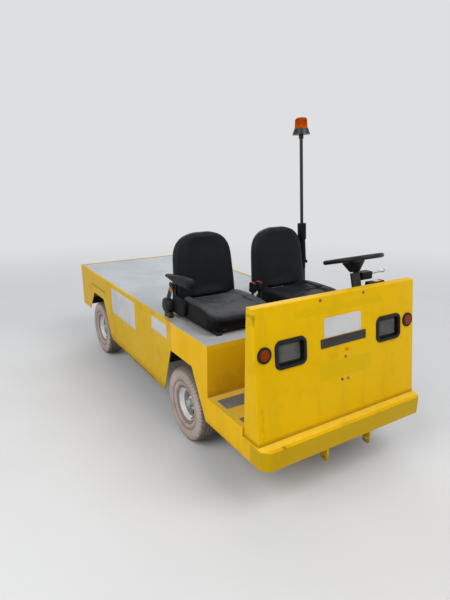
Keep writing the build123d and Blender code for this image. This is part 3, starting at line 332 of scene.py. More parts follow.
def weather_group():
    """Blotches, stains, scratches, chips and grain over any surface, from noise on its own coordinates."""
    tree, given = new_group("weather", scale=1, chips=0.3)
    spot = add(tree, "VectorMath", {0: here(tree), 3: given["scale"]}, operation="SCALE").outputs[0]

    def cloud(scale, detail, rough, stretch=(1, 1, 1), turn=(0, 0, 0)):
        """Noise that may be stretched and turned."""
        moved = add(tree, "Mapping", {"Vector": spot, "Scale": stretch, "Rotation": turn})
        return noise(tree, moved.outputs[0], scale, detail, rough)

    fine = cloud(22, 3, 0.5, (1, 14, 14), (0.1, 0.35, 0.2))
    crossing = cloud(18, 3, 0.5, (12, 12, 1), (0.5, -0.2, 0.1))
    edge = calc(tree, "SUBTRACT", 0.8, times(tree, given["chips"], 0.16))
    flecks = calc(tree, "SUBTRACT", cloud(46, 4, 0.62), edge)
    return close_group(
        tree,
        blotch=fade(tree, cloud(2.6, 4, 0.6), 0.34, 0.68),
        stain=fade(tree, cloud(7.5, 6, 0.7), 0.5, 0.72),
        scratch=calc(tree, "MAXIMUM", fade(tree, fine, 0.66, 0.7), fade(tree, crossing, 0.67, 0.71)),
        chip=fade(tree, flecks, 0, 0.015),
        grain=cloud(420, 2, 0.6),
        streak=fade(tree, cloud(9, 4, 0.6, (1, 1, 0.12)), 0.45, 0.7),
    )


def patch_group():
    """A box-shaped mask: 1 inside centre +- half, with a soft and ragged rim, from the largest distance out."""
    tree, given = new_group("patch", centre=(0, 0, 0), half=(1, 1, 1), soft=0.004, ragged=0)
    place = here(tree)
    away = vector(tree, "ABSOLUTE", vector(tree, "SUBTRACT", place, given["centre"]))
    parts = split(tree, vector(tree, "SUBTRACT", away, given["half"]))
    far = calc(tree, "MAXIMUM", calc(tree, "MAXIMUM", parts[0], parts[1]), parts[2])
    wobble = times(tree, calc(tree, "SUBTRACT", noise(tree, place, 28.0, 4.0), 0.5), given["ragged"])
    share = calc(tree, "DIVIDE", plus(tree, far, wobble), given["soft"])
    return close_group(tree, mask=fade(tree, share, -1, 1, 1, 0))


def grime_group():
    """Dirt that thickens downwards: 1 at low, 0 at high, broken up by noise."""
    tree, given = new_group("grime", low=0.2, high=0.5)
    place = here(tree)
    sockets = {0: split(tree, place)[2], 1: given["low"], 2: given["high"], 3: 1, 4: 0}
    depth = add(tree, "MapRange", sockets).outputs[0]
    broken = times(tree, plus(tree, noise(tree, place, 11.0, 6.0, 0.65), 0.15), depth)
    return close_group(tree, mask=fade(tree, broken, 0.08, 0.62))


WEATHER = weather_group()
PATCH = patch_group()
GRIME = grime_group()


def start_material(name):
    """An empty material: its node tree and its shader, joined to the output."""
    made = bpy.data.materials.new(name)
    made.use_nodes = True
    tree = made.node_tree
    tree.nodes.clear()
    shader = add(tree, "BsdfPrincipled")
    add(tree, "OutputMaterial", {0: shader.outputs[0]})
    return made, tree, shader


def worn_material(name, scale, chips):
    """A material with the shared wear masks: the material, its tree, its shader and the masks."""
    made, tree, shader = start_material(name)
    return made, tree, shader, use_group(tree, WEATHER, scale=scale, chips=chips)


def coat(tree, shader, height, strength, distance, sockets):
    """Feed the shader's sockets, and a height into its normal."""
    relief = add(tree, "Bump", {"Height": height, "Strength": strength, "Distance": distance})
    feed(tree, shader, {"Normal": relief.outputs[0], **sockets})


def painted(name, fresh, dull, share, chips=0.3, grime=(0.2, 0.45), grime_tone=(0.3, 0.25, 0.16), patches=(),
            rough=0.42):
    """Old gloss paint: fresh colour going dull in blotches, with streaks, chips to bare steel, and dirt low
    down. Each patch is (centre, half size, rim, raggedness, colour, strength)."""
    made, tree, shader, worn = worn_material(name, 1, chips)
    dirt = use_group(tree, GRIME, low=grime[0], high=grime[1])["mask"]
    spots = []
    for centre, half, soft, ragged, paint, strength in patches:
        mask = use_group(tree, PATCH, centre=centre, half=half, soft=soft, ragged=ragged)["mask"]
        spots.append((mask, strength, paint))
    mix = plus(tree, times(tree, worn["blotch"], 0.55), share)
    shade = tuple(0.86 * part for part in dull)
    colour = layered(
        tree, blend(tree, mix, fresh, dull), (worn["stain"], 0.35, shade), (worn["streak"], 0.08, grime_tone),
        *spots, (dirt, 0.55, grime_tone), (worn["scratch"], 0.16, (0.93, 0.84, 0.5)),
        (worn["chip"], (0.22, 0.17, 0.13)))
    gloss = plus(tree, times(tree, worn["blotch"], 0.16), rough)
    tint = (1, 0.75, 0.1) if fresh[2] < 0.2 else (1, 1, 1)
    relief = calc(tree, "SUBTRACT", times(tree, worn["grain"], 0.25), worn["chip"])
    coat(tree, shader, plus(tree, relief, times(tree, worn["blotch"], 2.0)), 0.35, 0.0006, {
        "Base Color": colour, "Roughness": plus(tree, gloss, times(tree, dirt, 0.3), clamp=True),
        "Specular IOR Level": 0.22, "Specular Tint": tone(*tint)})
    return made


def plain(name, main, second, rough, grain=0.2, dust=(0.45, 0.42, 0.36), chips=0.1, scale=1, metallic=0,
          shine=0.4, grime=None):
    """A surface of two close tones in blotches, with grain, a few worn spots and dust where dirt gathers.
    The grime is (low, high, strength)."""
    made, tree, shader, worn = worn_material(name, scale, chips)
    layers = [(worn["scratch"], 0.12, dust), (worn["chip"], 0.6, dust)]
    if grime:
        low, high, strength = grime
        layers.append((use_group(tree, GRIME, low=low, high=high)["mask"], strength, dust))
    coat(tree, shader, worn["grain"], grain, 0.0008, {
        "Base Color": layered(tree, blend(tree, worn["blotch"], main, second), *layers),
        "Roughness": plus(tree, times(tree, worn["stain"], 0.18), rough, clamp=True),
        "Metallic": metallic, "Specular IOR Level": shine})
    return made


def glassy(name, colour, rough, tint=(1, 1, 1), ribs=0):
    """Coloured moulded lens: tinted gloss over a saturated body, with fine upright ribs of a given scale."""
    made, tree, shader, worn = worn_material(name, 3.0, 0)
    height = worn["grain"]
    if ribs:
        across = add(tree, "Mapping", {"Vector": here(tree), "Rotation": (0, 0, math.pi / 2)})
        height = add(tree, "TexWave", {"Vector": across.outputs[0], "Scale": ribs, "Distortion": 0},
                     wave_type="BANDS", bands_direction="X").outputs["Fac"]
    coat(tree, shader, height, 0.5, 0.001, {
        "Base Color": blend(tree, worn["blotch"], colour, tuple(0.7 * part for part in colour)),
        "Roughness": rough, "Specular IOR Level": 0.2, "Specular Tint": tone(*tint)})
    return made


def vinyl(name, main, dust_and_painted_light, dust_and_sheen_amount):
    """Black grained vinyl: fine pebbles from a cell pattern, soft sheen, and upward faces paled towards a
    bluish grey as settled dust and painted sky sheen together.
    """
    made, tree, shader, worn = worn_material(name, 1.6, 0)
    cells = add(tree, "TexVoronoi", {"Vector": here(tree), "Scale": 520.0}, feature="DISTANCE_TO_EDGE")
    pebble = fade(tree, cells.outputs["Distance"], 0, 0.22)
    # painted sheen with dust: faces that point up are paled towards a bluish grey, for the sky's reflection as
    # well as settled dust
    upward = split(tree, add(tree, "NewGeometry").outputs["Normal"])[2]
    dust_and_sheen = times(tree, fade(tree, upward, 0.55, 1), dust_and_sheen_amount)
    dust_and_sheen = times(tree, dust_and_sheen, plus(tree, times(tree, worn["blotch"], 0.8), 0.45))
    clean = blend(tree, worn["stain"], main, tuple(part * 1.25 for part in main))
    coat(tree, shader, plus(tree, pebble, times(tree, worn["blotch"], 3.0)), 0.28, 0.0005, {
        "Base Color": blend(tree, calc(tree, "MINIMUM", dust_and_sheen, 1), clean, dust_and_painted_light),
        "Roughness": plus(tree, times(tree, dust_and_sheen, 0.35), 0.42, clamp=True), "Specular IOR Level": 0.1})
    return made


def grit(name):
    """Grip strip: dark grit of small bright and dark grains, worn pale in blotches."""
    made, tree, shader, worn = worn_material(name, 1.5, 0.5)
    grains = add(tree, "TexVoronoi", {"Vector": here(tree), "Scale": 650.0}).outputs["Distance"]
    colour = blend(tree, fade(tree, grains, 0.25, 0.6), (0.52, 0.51, 0.51), (0.34, 0.33, 0.33))
    coat(tree, shader, grains, 0.7, 0.001, {
        "Base Color": layered(tree, colour, (worn["stain"], 0.6, (0.6, 0.57, 0.52))), "Roughness": 0.9})
    return made


def from_axle(tree, axle_x):
    """How far forward of the axle, above it, and away from it a point of the wheel lies."""
    parts = split(tree, here(tree))
    forward = calc(tree, "SUBTRACT", parts[0], axle_x)
    above = calc(tree, "SUBTRACT", parts[2], WHEEL_R)
    squares = plus(tree, times(tree, forward, forward), times(tree, above, above))
    return forward, above, calc(tree, "SQRT", squares)


def rubber(name, axle_x):
    """Dusty tyre rubber: beige dust on the sidewalls, with painted shade in the moulded ring groove and over
    the tread, by distance from the axle, and darker cuts between the lugs, by the angle round it."""
    made, tree, shader, worn = worn_material(name, 2.0, 0.1)
    ring_radius, gap_share = 0.152, 0.36
    forward, above, radius = from_axle(tree, axle_x)
    # painted shade: the tread is darkened as if in shadow, broken by blotches
    tread = times(tree, fade(tree, radius, WHEEL_R - 0.024, WHEEL_R - 0.01),
                  plus(tree, times(tree, worn["blotch"], -0.4), 0.9))
    # painted shade: the moulded ring groove of the sidewall is darkened as if shaded
    ring = calc(tree, "ABSOLUTE", calc(tree, "SUBTRACT", radius, ring_radius))
    lug = calc(tree, "FRACT", times(tree, calc(tree, "ARCTAN2", above, forward), LUGS / (2 * math.pi)))
    cut = times(tree, calc(tree, "LESS_THAN", lug, gap_share), fade(tree, radius, 0.196, 0.205))
    colour = layered(
        tree, blend(tree, worn["blotch"], (0.68, 0.62, 0.58), (0.6, 0.545, 0.505)),
        (worn["stain"], 0.35, (0.42, 0.37, 0.33)), (tread, (0.24, 0.22, 0.205)),
        (fade(tree, ring, 0.003, 0.012, 0.62, 0), (0.36, 0.32, 0.3)),
        (fade(tree, radius, 0.1215, 0.126, 0.5, 0), (0.1, 0.095, 0.09)), (cut, 0.45, (0.3, 0.27, 0.25)))
    coat(tree, shader, plus(tree, worn["grain"], worn["stain"]), 0.4, 0.001,
         {"Base Color": colour, "Roughness": 0.85})
    return made


def rim_paint(name, axle_x):
    """Silver wheel paint, by distance from the axle: dusty flange, bright well, and the dished disc round the
    nuts darkened as brown dust and painted shade.
    """
    made, tree, shader, worn = worn_material(name, 2.5, 0.35)
    radius = from_axle(tree, axle_x)[2]
    # painted shade with brown dust: the dished disc round the nuts is darkened as if shaded in its recess
    dust_and_painted_light = times(tree, fade(tree, radius, 0.034, 0.044), fade(tree, radius, 0.08, 0.094, 1, 0))
    colour = layered(
        tree, blend(tree, worn["blotch"], (0.93, 0.93, 0.92), (0.84, 0.83, 0.81)),
        (dust_and_painted_light, 0.85, (0.25, 0.23, 0.21)), (fade(tree, radius, 0.028, 0.036, 0.8, 0), (0.5, 0.49, 0.47)),
        (worn["stain"], 0.3, (0.45, 0.38, 0.31)), (fade(tree, radius, 0.108, 0.116), (0.66, 0.61, 0.57)),
        (worn["chip"], 0.8, (0.38, 0.24, 0.15)))
    coat(tree, shader, worn["grain"], 0.2, 0.0005, {
        "Base Color": colour, "Metallic": 0.2,
        "Roughness": plus(tree, times(tree, worn["stain"], 0.3), 0.38, clamp=True)})
    return made


# Patches of paint colour, some of them painted shade, each with its centre, half size, rim, raggedness, colour
# and strength
YELLOW = (0.845, 0.668, 0)
OLD_YELLOW = (0.81, 0.645, 0)
GHOST = (0.78, 0.64, 0)
cowl_patches = (
    ((1.36, -0.0085, 0.973), (0.2, 0.3, 0.02), 0.007, 0.016, GHOST, 0.75),
    ((1.39, 0.0225, 0.654), (0.2, 0.18, 0.044), 0.007, 0.016, GHOST, 0.8),
    ((1.37, 0.026, 0.744), (0.2, 0.018, 0.01), 0.004, 0.024, (0.8, 0.4, 0.02), 0.9),
    ((1.42, -0.52, 0.48), (0.2, 0.005, 0.1), 0.01, 0.05, (0.62, 0.47, 0.06), 0.35),
    ((1.36, -0.543, 0.985), (0.2, 0.004, 0.022), 0.006, 0.03, (0.35, 0.28, 0.1), 0.55),
    ((1.42, 0, 0.39), (0.2, 0.56, 0.012), 0.01, 0.01, (0.62, 0.48, 0.08), 0.5),
)
bumper_patches = (
    # painted shade and dirt: the bumper's front face is tinted a darker olive
    ((1.44, 0, 0.33), (0.08, 0.6, 0.049), 0.003, 0.004, (0.7, 0.565, 0.02), 0.85),
    ((1.44, 0, 0.392), (0.022, 0.6, 0.01), 0.006, 0.01, (0.92, 0.78, 0.3), 0.6),
    ((1.475, -0.445, 0.384), (0.012, 0.01, 0.006), 0.004, 0.01, (0.48, 0.4, 0.12), 0.7),
)
side_patches = (
    # painted shade: a dark band standing for the shade in a dent along the rear side panel
    ((-0.97, -0.56, 0.623), (0.187, 0.02, 0.008), 0.01, 0.016, (0.46, 0.37, 0.1), 0.75),
    ((0.47, -0.56, 0.705), (0.02, 0.02, 0.03), 0.01, 0.03, (0.86, 0.45, 0.08), 0.5),
    ((-0.27, -0.56, 0.245), (0.5, 0.03, 0.01), 0.006, 0.012, (0.35, 0.28, 0.12), 0.6),
)
seat_deck_patches = (
    ((0.93, 0, 0.7), (0.3, 0.6, 0.0335), 0.001, 0, (0.86, 0.67, 0), 1),
    ((0.95, 0, 0.57), (0.01, 0.6, 0.135), 0.001, 0, (0.84, 0.64, 0), 1),
    ((0.95, 0, 0.5), (0.01, 0.5, 0.05), 0.03, 0.12, (0.55, 0.42, 0.1), 0.2),
)
dash_patches = (((1.27, 0.308, 1.012), (0.0266, 0.058, 0.04), 0.0005, 0, (0.07, 0.07, 0.08), 1),)

# Materials
yellow_cowl = painted("yellow_cowl", YELLOW, OLD_YELLOW, 0.05, 0.22, (0.36, 0.42), patches=cowl_patches)
yellow_bumper = painted("yellow_bumper", (0.845, 0.665, 0), (0.8, 0.635, 0.02), 0.15, 0.42, (0.19, 0.31),
                        patches=bumper_patches)
yellow_bed = painted("yellow_bed", (0.81, 0.65, 0.02), (0.77, 0.62, 0.08), 0.3, 0.34, (0.2, 0.34),
                     patches=side_patches)
yellow_cab = painted("yellow_cab", (0.88, 0.69, 0), (0.84, 0.65, 0), 0.1, 0.34, (0.22, 0.34))
yellow_floor = painted("yellow_floor", (0.9, 0.73, 0.18), (0.85, 0.7, 0.3), 0.3, 0.6, (0.28, 0.44),
                       (0.6, 0.52, 0.36))
seat_deck_paint = painted("seat_deck_paint", (0.66, 0.67, 0.67), (0.61, 0.61, 0.59), 0.2, 0.3, (0.4, 0.5),
                          patches=seat_deck_patches, rough=0.55)
dash_paint = painted("dash_paint", YELLOW, OLD_YELLOW, 0.1, patches=dash_patches)
deck_grey = plain("deck_grey", (0.685, 0.7, 0.71), (0.635, 0.65, 0.66), 0.6, 0.3, (0.5, 0.49, 0.47), 0.35)
black_steel = plain("black_steel", (0.075, 0.075, 0.08), (0.12, 0.11, 0.1), 0.55, 0.3, (0.33, 0.29, 0.24), 0.3,
                    grime=(0.18, 0.55, 0.5))
cast_steel = plain("cast_steel", (0.2, 0.19, 0.18), (0.3, 0.25, 0.21), 0.62, 0.6, (0.36, 0.31, 0.25), 0.3,
                   metallic=0.5, grime=(0.12, 0.4, 0.6))
bright_steel = plain("bright_steel", (0.7, 0.73, 0.76), (0.6, 0.62, 0.64), 0.28, 0.1, (0.5, 0.5, 0.5), 0.05,
                     metallic=0.6)
bolt_steel = plain("bolt_steel", (0.52, 0.5, 0.46), (0.4, 0.33, 0.24), 0.45, 0.3, (0.36, 0.25, 0.15), 0.3,
                   6.0, 0.7)
mast_black = plain("mast_black", (0.08, 0.085, 0.09), (0.12, 0.125, 0.13), 0.34, 0.2, (0.3, 0.3, 0.3), 0.2,
                   shine=0.3)
black_plastic = plain("black_plastic", (0.06, 0.065, 0.075), (0.1, 0.105, 0.115), 0.38, 0.35,
                      (0.35, 0.34, 0.33), 0.15, shine=0.18)
battery_case = plain("battery_case", (0.1, 0.11, 0.12), (0.15, 0.15, 0.15), 0.5, 0.4, grime=(0.42, 0.72, 0.3))
cover_black = plain("cover_black", (0.028, 0.029, 0.034), (0.05, 0.05, 0.056), 0.5, 0.3, shine=0.12)
# painted shade: dark brown for the sheets standing in for the shaded inner walls of the lamp openings
lamp_gap_shade = plain("lamp_gap_shade", (0.09, 0.075, 0.05), (0.14, 0.11, 0.07), 0.6, 0.4, shine=0.1)
lamp_body = plain("lamp_body", (0.1, 0.1, 0.1), (0.16, 0.155, 0.15), 0.5)
# painted shade: the belt foot's yellow paint is darkened to dark brown as if in shadow
shadowed_foot_paint = plain("shadowed_foot_paint", (0.3, 0.21, 0.03), (0.2, 0.14, 0.04), 0.6, 0.3)
orange_web = plain("orange_web", (0.66, 0.4, 0.2), (0.58, 0.33, 0.15), 0.8, 0.8)
blank_white = plain("blank_white", (0.735, 0.735, 0.73), (0.68, 0.685, 0.69), 0.45, 0.1, (0.62, 0.6, 0.55),
                    0.25, 2.0)
blank_black = plain("blank_black", (0.1, 0.1, 0.1), (0.15, 0.145, 0.14), 0.45, 0.3, (0.42, 0.41, 0.38),
                    0.4, 2.0)
marker_red = glassy("marker_red", (0.52, 0.2, 0), 0.3, (1, 0.5, 0.1), ribs=60.0)
amber = glassy("amber", (0.7, 0.27, 0), 0.25, (1, 0.6, 0.15))
red_button = glassy("red_button", (0.75, 0.1, 0.16), 0.35)
lamp_glass = glassy("lamp_glass", (0.36, 0.36, 0.345), 0.15)
# each vinyl's third colour and its last number are the dust and painted sheen on its upward faces
seat_vinyl = {"right": vinyl("seat_vinyl_right", (0.028, 0.029, 0.032), (0.31, 0.315, 0.33), 0.85),
              "left": vinyl("seat_vinyl_left", (0.035, 0.04, 0.055), (0.24, 0.25, 0.27), 0.2)}
back_vinyl = vinyl("back_vinyl", (0.075, 0.088, 0.1), (0.22, 0.23, 0.25), 0.3)
floor_grit = grit("floor_grit")
rubbers = {end: rubber(f"rubber_{end}", x) for end, x in AXLES.items()}
rims = {end: rim_paint(f"rim_{end}", x) for end, x in AXLES.items()}

# Finishes of the frame's own nodes
finishes = (
    (yellow_cowl, "cowl"), (yellow_bumper, "front_bumper"), (yellow_bed, "bed_sides tail_panel"),
    (yellow_cab, "cab_sides"), (yellow_floor, "floor_pan"), (dash_paint, "dash_panel"), (deck_grey, "bed_deck"),
    (seat_deck_paint, "seat_deck"), (lamp_body, "headlamps"), (marker_red, "signal_lenses"),
    (battery_case, "battery_pack"), (mast_black, "beacon_mast"), (amber, "beacon_lens"),
    (black_plastic, "lamp_trims steering_wheel direction_lever belt_hardware"),
    (black_steel, "frame_rails cross_members deck_frame front_axle steering_column pedals seat_frames"),
    (cast_steel, "rear_axle leaf_springs knuckle_right knuckle_left tie_rod drag_link pitman_arm"),
    *((rims[end], f"rim_{wheel}") for wheel, (end, _, _) in WHEELS.items()),
    *((rubbers[end], f"tyre_{wheel}") for wheel, (end, _, _) in WHEELS.items()),
)
for material, names in finishes:
    for node_name in names.split():
        node_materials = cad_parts[node_name].data.materials
        node_materials.clear()
        node_materials.append(material)


def tyre(wheel):
    """Road tyre: a crowned tread with four grooves and cut shoulders, and sidewalls with one moulded ring.
    The tread's radius is the crown, a parabola across, less the groove depth and notches that repeat round."""
    end, _, centre = WHEELS[wheel]
    angle = around(240)
    half_tread, crown_drop, half_groove, groove_depth = 0.056, 0.005, 0.002, 0.0055
    notch_share, notch_depth, notch_narrowing = 0.28, 0.0075, 0.035
    grooves = (-0.038, -0.014, 0.014, 0.038)
    edges = np.array((-0.0026, -0.0018, 0.0018, 0.0026))
    across = np.sort(np.concatenate([np.linspace(-half_tread, half_tread, 9), *(g + edges for g in grooves)]))
    crown = WHEEL_R - crown_drop * (across / half_tread) ** 2
    in_groove = np.max([np.abs(across - g) < half_groove for g in grooves], axis=0)
    wall = mm(
        # outboard distance, radius, from the shoulder down to the bead
        (60.5, 223.5), (63.5, 216.5), (65.5, 212), (68, 204), (69.7, 195), (70, 185), (69.3, 174.5),
        (68.4, 168), (67.2, 164.5), (64, 162), (62.6, 157), (61.8, 151), (62, 145.5), (62.8, 142), (61.8, 136),
        (59, 129), (56, 124), (51.5, 120), (46.5, 100.5),
    )
    tread = np.stack([across, crown - groove_depth * in_groove], axis=-1)
    profile = np.vstack([wall[::-1] * (-1, 1), tread, wall])
    notch = (np.mod(angle * LUGS / (2 * math.pi), 1) < notch_share).astype(float)
    cut = (step(np.abs(profile[:, :1]), 0.0415, 0.0435) * step(profile[:, 1:], 0.199, 0.2045)) * notch
    radius = profile[:, 1:] - notch_depth * cut
    offset = profile[:, :1] * (1 - notch_narrowing * cut)
    rings = np.stack([radius * np.cos(angle), offset, radius * np.sin(angle)], axis=-1) + centre
    piece(f"tyre_{wheel}_tread", [skin(rings, tube=True)], rubbers[end], f"wheel_{wheel}",
          replaces=(f"tyre_{wheel}",), crease=50)


def rim(wheel):
    """Pressed steel wheel: one profile turned about the axle, from the dust cap over the dished disc and the
    curved well to both rolled flanges; the rear wheels carry a brake drum. Five nuts stand on the disc."""
    end, side, centre = WHEELS[wheel]
    out = side * Y
    profile = mm(
        # outboard distance from the wheel's middle, radius
        (46, 2), (45.5, 10), (43.5, 18), (39.5, 23.5), (33, 26.5), (15, 27.2), (12, 29), (10.5, 34), (10.2, 56),
        (12.5, 68), (18, 75.5), (21.8, 81.5), (21.8, 86.5), (19, 91), (19.5, 94.5), (24, 96), (34, 96.6),
        (40, 98.5), (44.5, 102.5), (46.8, 108.5), (48, 114), (49.5, 118), (51, 120.5), (50.8, 122.5), (49, 123),
        (47.2, 121.5), (46.8, 118), (46.8, 100.3), (-46.8, 100.3), (-46.8, 118), (-49, 123), (-50.8, 122.5),
        (-51, 120.5), (-48, 114), (-44.5, 102.5), (-40, 98.5), (-34, 96.3), (12, 96), (15, 93), (15, 85),
        (12, 76.5), (6, 69), (5, 40), (3, 38), (-34, 38), (-34, 20.3), (20, 20.3), (20, 2),
    )
    shapes = [turned(centre, out, profile, 96)]
    if end == "rear":
        drum = mm((5.5, 36), (5.5, 62), (-10, 84), (-60, 84), (-64, 83.8), (-86, 83.8), (-86, 78), (-14, 78),
                  (-14, 36))
        shapes.append(turned(centre, out, drum, 96, closed=True))
    disc, nut_circle = 0.0095, 0.05715
    for turn in around(5):
        place = centre + out * disc + nut_circle * np.array((math.cos(turn), 0, math.sin(turn)))
        shapes.append(bolt(place, out, 0.0098, 0.013))
    piece(f"rim_{wheel}_pressing", shapes, rims[end], f"wheel_{wheel}",
          replaces=(f"rim_{wheel}",), crease=30)


for wheel in WHEELS:
    tyre(wheel)
    rim(wheel)


def seat_cushion(side_name):
    """Moulded cushion: rounded rectangles stacked from the base to the crown, with the top raised by a height
    field that has side bolsters, a low middle, a waterfall front, sewn valleys, folds and a small ripple."""
    length, width, corner = 0.393, 0.428, 0.06
    base, top, edge, innermost, gap = 0.7655, 0.866, 0.03, 0.188, 0.003
    centre = (BACK_FOOT[side_name] + gap + length / 2, SIDES[side_name] * SEAT_Y, 0)
    arc, run, rings = 14, 22, []
    for inset, lift in ((0.15, 0), (0.02, 0), (0.006, 0.002), (0, 0.01), (0, 0.04)):
        flat = outline(length, width, corner, inset, arc, run)
        rings.append(np.column_stack([flat, np.full(len(flat), base + lift)]))
    bend = np.radians(np.linspace(0, 90, 9))
    crown = [(edge * (1 - math.cos(a)), edge * math.sin(a) - edge) for a in bend]
    for inset, drop in crown + [(inset, 0) for inset in np.linspace(edge, innermost, 34)[1:]]:
        flat = outline(length, width, corner, inset, arc, run)
        x, y = flat.T
        bolster = 0.017 * step(np.abs(y), 0.118, 0.165) * (1 - 0.55 * step(x, 0.06, 0.16))
        fall = 0.028 * step(x, 0.11, 0.205) ** 1.3
        dip = 0.01 * (1 - step(np.hypot(x + 0.03, y), 0.03, 0.14))
        hump = 0.012 * hill(x + 0.06, 0.085) * hill(y - 0.12, 0.06)
        valley = 0.0035 * hill(np.abs(y) - 0.132, 0.004) * (x < 0.1) + 0.0035 * hill(x - 0.112, 0.004)
        fold = 0.006 * hill(x - 0.35 * y + 0.035, 0.01) * step(y, 0, 0.07)
        crease = 0.005 * hill(x + 0.5 * y - 0.015, 0.009) * step(-y, -0.06, 0.02) * step(y, -0.12, -0.07)
        ridge = 0.005 * hill(x - 0.6 * y - 0.04, 0.028) * step(y, -0.15, -0.08) * (1 - step(y, 0.02, 0.1))
        ripple = 0.0018 * np.sin(38 * x + 9 * y) * np.cos(31 * y - 5 * x)
        ripple += 0.001 * np.sin(90 * x - 60 * y + 2.0 * np.sin(25 * y)) * step(x, -0.18, -0.05)
        height = top + bolster + hump - fall - dip - valley + (ridge + ripple - fold - crease) * (inset > edge)
        rings.append(np.column_stack([flat, height + drop]))
    made = piece(f"seat_cushion_{side_name}_cover", [skin(np.array(rings) + centre)], seat_vinyl[side_name],
                 replaces=(f"seat_cushion_{side_name}",), crease=80)


def seat_back(side_name):
    """Moulded back: loops of a squared oval stacked up the back, narrowing to a flat top with sloping
    shoulders; the front is hollowed between two side bolsters by a cosine and lined by two sewn valleys."""
    lean = math.radians(8)
    out, up = leaning(lean)
    tall, thick, low_edge, top_edge, rows = 0.408, 0.085, 0.03, 0.034, 42
    centre = np.array((BACK_FOOT[side_name], SIDES[side_name] * SEAT_Y, 0.852)) - out * thick / 2
    side_share = squared(np.cos(around(144)), 2 / 5)
    deep_share = squared(np.sin(around(144)), 2 / 3.2)
    ends = np.radians(np.linspace(0, 90, 9))
    middle = np.linspace(low_edge, tall - top_edge, rows + 2)[1:-1]
    heights = np.concatenate(
        [low_edge * (1 - np.cos(ends)), middle, tall - top_edge + top_edge * np.sin(ends)])[:, None]
    insets = np.concatenate(
        [low_edge * (1 - np.sin(ends)), np.zeros(rows), top_edge * (1 - np.cos(ends))])[:, None]
    share = heights / tall
    rise = np.clip((share - 0.48) / 0.52, 0, 1)
    half = (0.214 - 0.01 * step(share, 0.05, 0.7)) * (1 - 0.9 * rise ** 3.4) ** 0.5 - insets * 0.5
    deep = thick / 2 - 0.006 * step(share, 0.5, 1) - insets
    side_at = half * side_share
    spread = side_at / half.clip(0.05)
    hollow = 0.011 * (0.5 + 0.5 * np.cos(np.clip(spread / 0.72, -1, 1) * math.pi)) * step(share, 0.02, 0.2)
    hollow = hollow * (1 - 0.6 * step(share, 0.75, 0.98))
    valley = 0.0018 * hill(np.abs(spread) - 0.76, 0.022) * step(share, 0.08, 0.12)
    valley = valley * (1 - step(share, 0.86, 0.92))
    depth_at = deep * deep_share - (hollow + valley) * np.clip(deep_share, 0, 1) ** 0.5
    grid = centre + side_at[..., None] * Y + depth_at[..., None] * out + heights[..., None] * up
    made = piece(f"seat_back_{side_name}_cover", [skin(grid)], back_vinyl,
                 replaces=(f"seat_back_{side_name}",), crease=80)


for side_name in SIDES:
    seat_cushion(side_name)
    seat_back(side_name)


def armrest():
    """Armrest pad, a squared oval that grows from a thin rear tip to a full front end, on a flat steel strap,
    and the cover at the seat's hinge beside it."""
    length, start, tilt = 0.326, (0.411, -0.527, 0.995), math.radians(4.6)
    along, up = leaning(tilt)
    share = np.concatenate([[0, 0.004, 0.015], np.linspace(0.04, 0.9, 22), [0.94, 0.97, 0.99, 1]])[:, None]
    ends = np.interp(share, [0, 0.004, 0.015, 0.04, 0.9, 0.94, 0.97, 0.99, 1],
                     [0.2, 0.6, 0.85, 1, 1, 0.95, 0.83, 0.6, 0.35])
    swell = step(share, 0, 0.6)
    wide = (0.02 + 0.0065 * step(share, 0, 0.3)) * ends * squared(np.cos(around(40)), 0.7)
    high = (0.01 + 0.019 * swell) * ends * squared(np.sin(around(40)), 0.7)
    high = high + 0.014 - 0.012 * swell - 0.006 * step(share, 0.6, 1)
    grid = start + (share * length)[..., None] * along + wide[..., None] * Y + high[..., None] * up
    pad = piece("armrest_pad", [skin(grid)], back_vinyl, replaces=("armrest",), crease=80)
    flat = outline(0.04, 0.006, 0.0015, arc=3)
    strap = np.linspace((0.437, -0.497, 0.99), (0.437, -0.497, 0.772), 8)
    foot = np.linspace((0.437, -0.5005, 0.758), (0.437, -0.441, 0.758), 6)
    piece("armrest_strap", [swept(strap, flat, Y), swept(foot, flat)], black_steel)
    shell = mm((30, -1), (0, -1), (0, 9), (2, 13), (8, 15.5), (30, 17))
    piece("recliner_cover", [plate((0.503, -0.4905, 0.832), X, Z, 0.168, 0.118, 0.046, shell)], cover_black)


armrest()


# Blank plate and nameplate strip on the cowl, and blank signs on the right side
def cowl_plate(name, y0, y1, z0, z1, radius, layers, material):
    """A thin plate lying on the cowl between two heights."""
    middle = cowl_point((y0 + y1) / 2, (z0 + z1) / 2)
    height = (z1 - z0) / math.cos(COWL_LEAN)
    piece(name, [plate(middle, Y, COWL_UP, y1 - y0, height, radius, layers)], material)


def side_sign(name, x0, x1, z0, z1):
    """A blank adhesive sign on the right side panel."""
    middle = ((x0 + x1) / 2, -HALF_WIDTH, (z0 + z1) / 2)
    piece(name, [plate(middle, X, Z, x1 - x0, z1 - z0, 0.006, slab(30, -1, 0.3, 0.4, 0.6))], blank_white)


strip = mm((20, 0), (0, 0), (0, 3), (1.5, 4.2), (5, 4.2), (6.2, 3.2), (20, 3.2))
cowl_plate("front_plate_white", -0.126, 0.129, 0.829, 0.929, 0.004, slab(30, 0, 0.8, 0.6, 1.4), blank_white)
cowl_plate("front_plate_black", -0.151, 0.163, 0.779, 0.826, 0.003, strip, blank_black)
side_sign("side_sign_rear", -0.61, -0.107, 0.5, 0.705)
side_sign("side_sign_front", 0.202, 0.441, 0.611, 0.701)

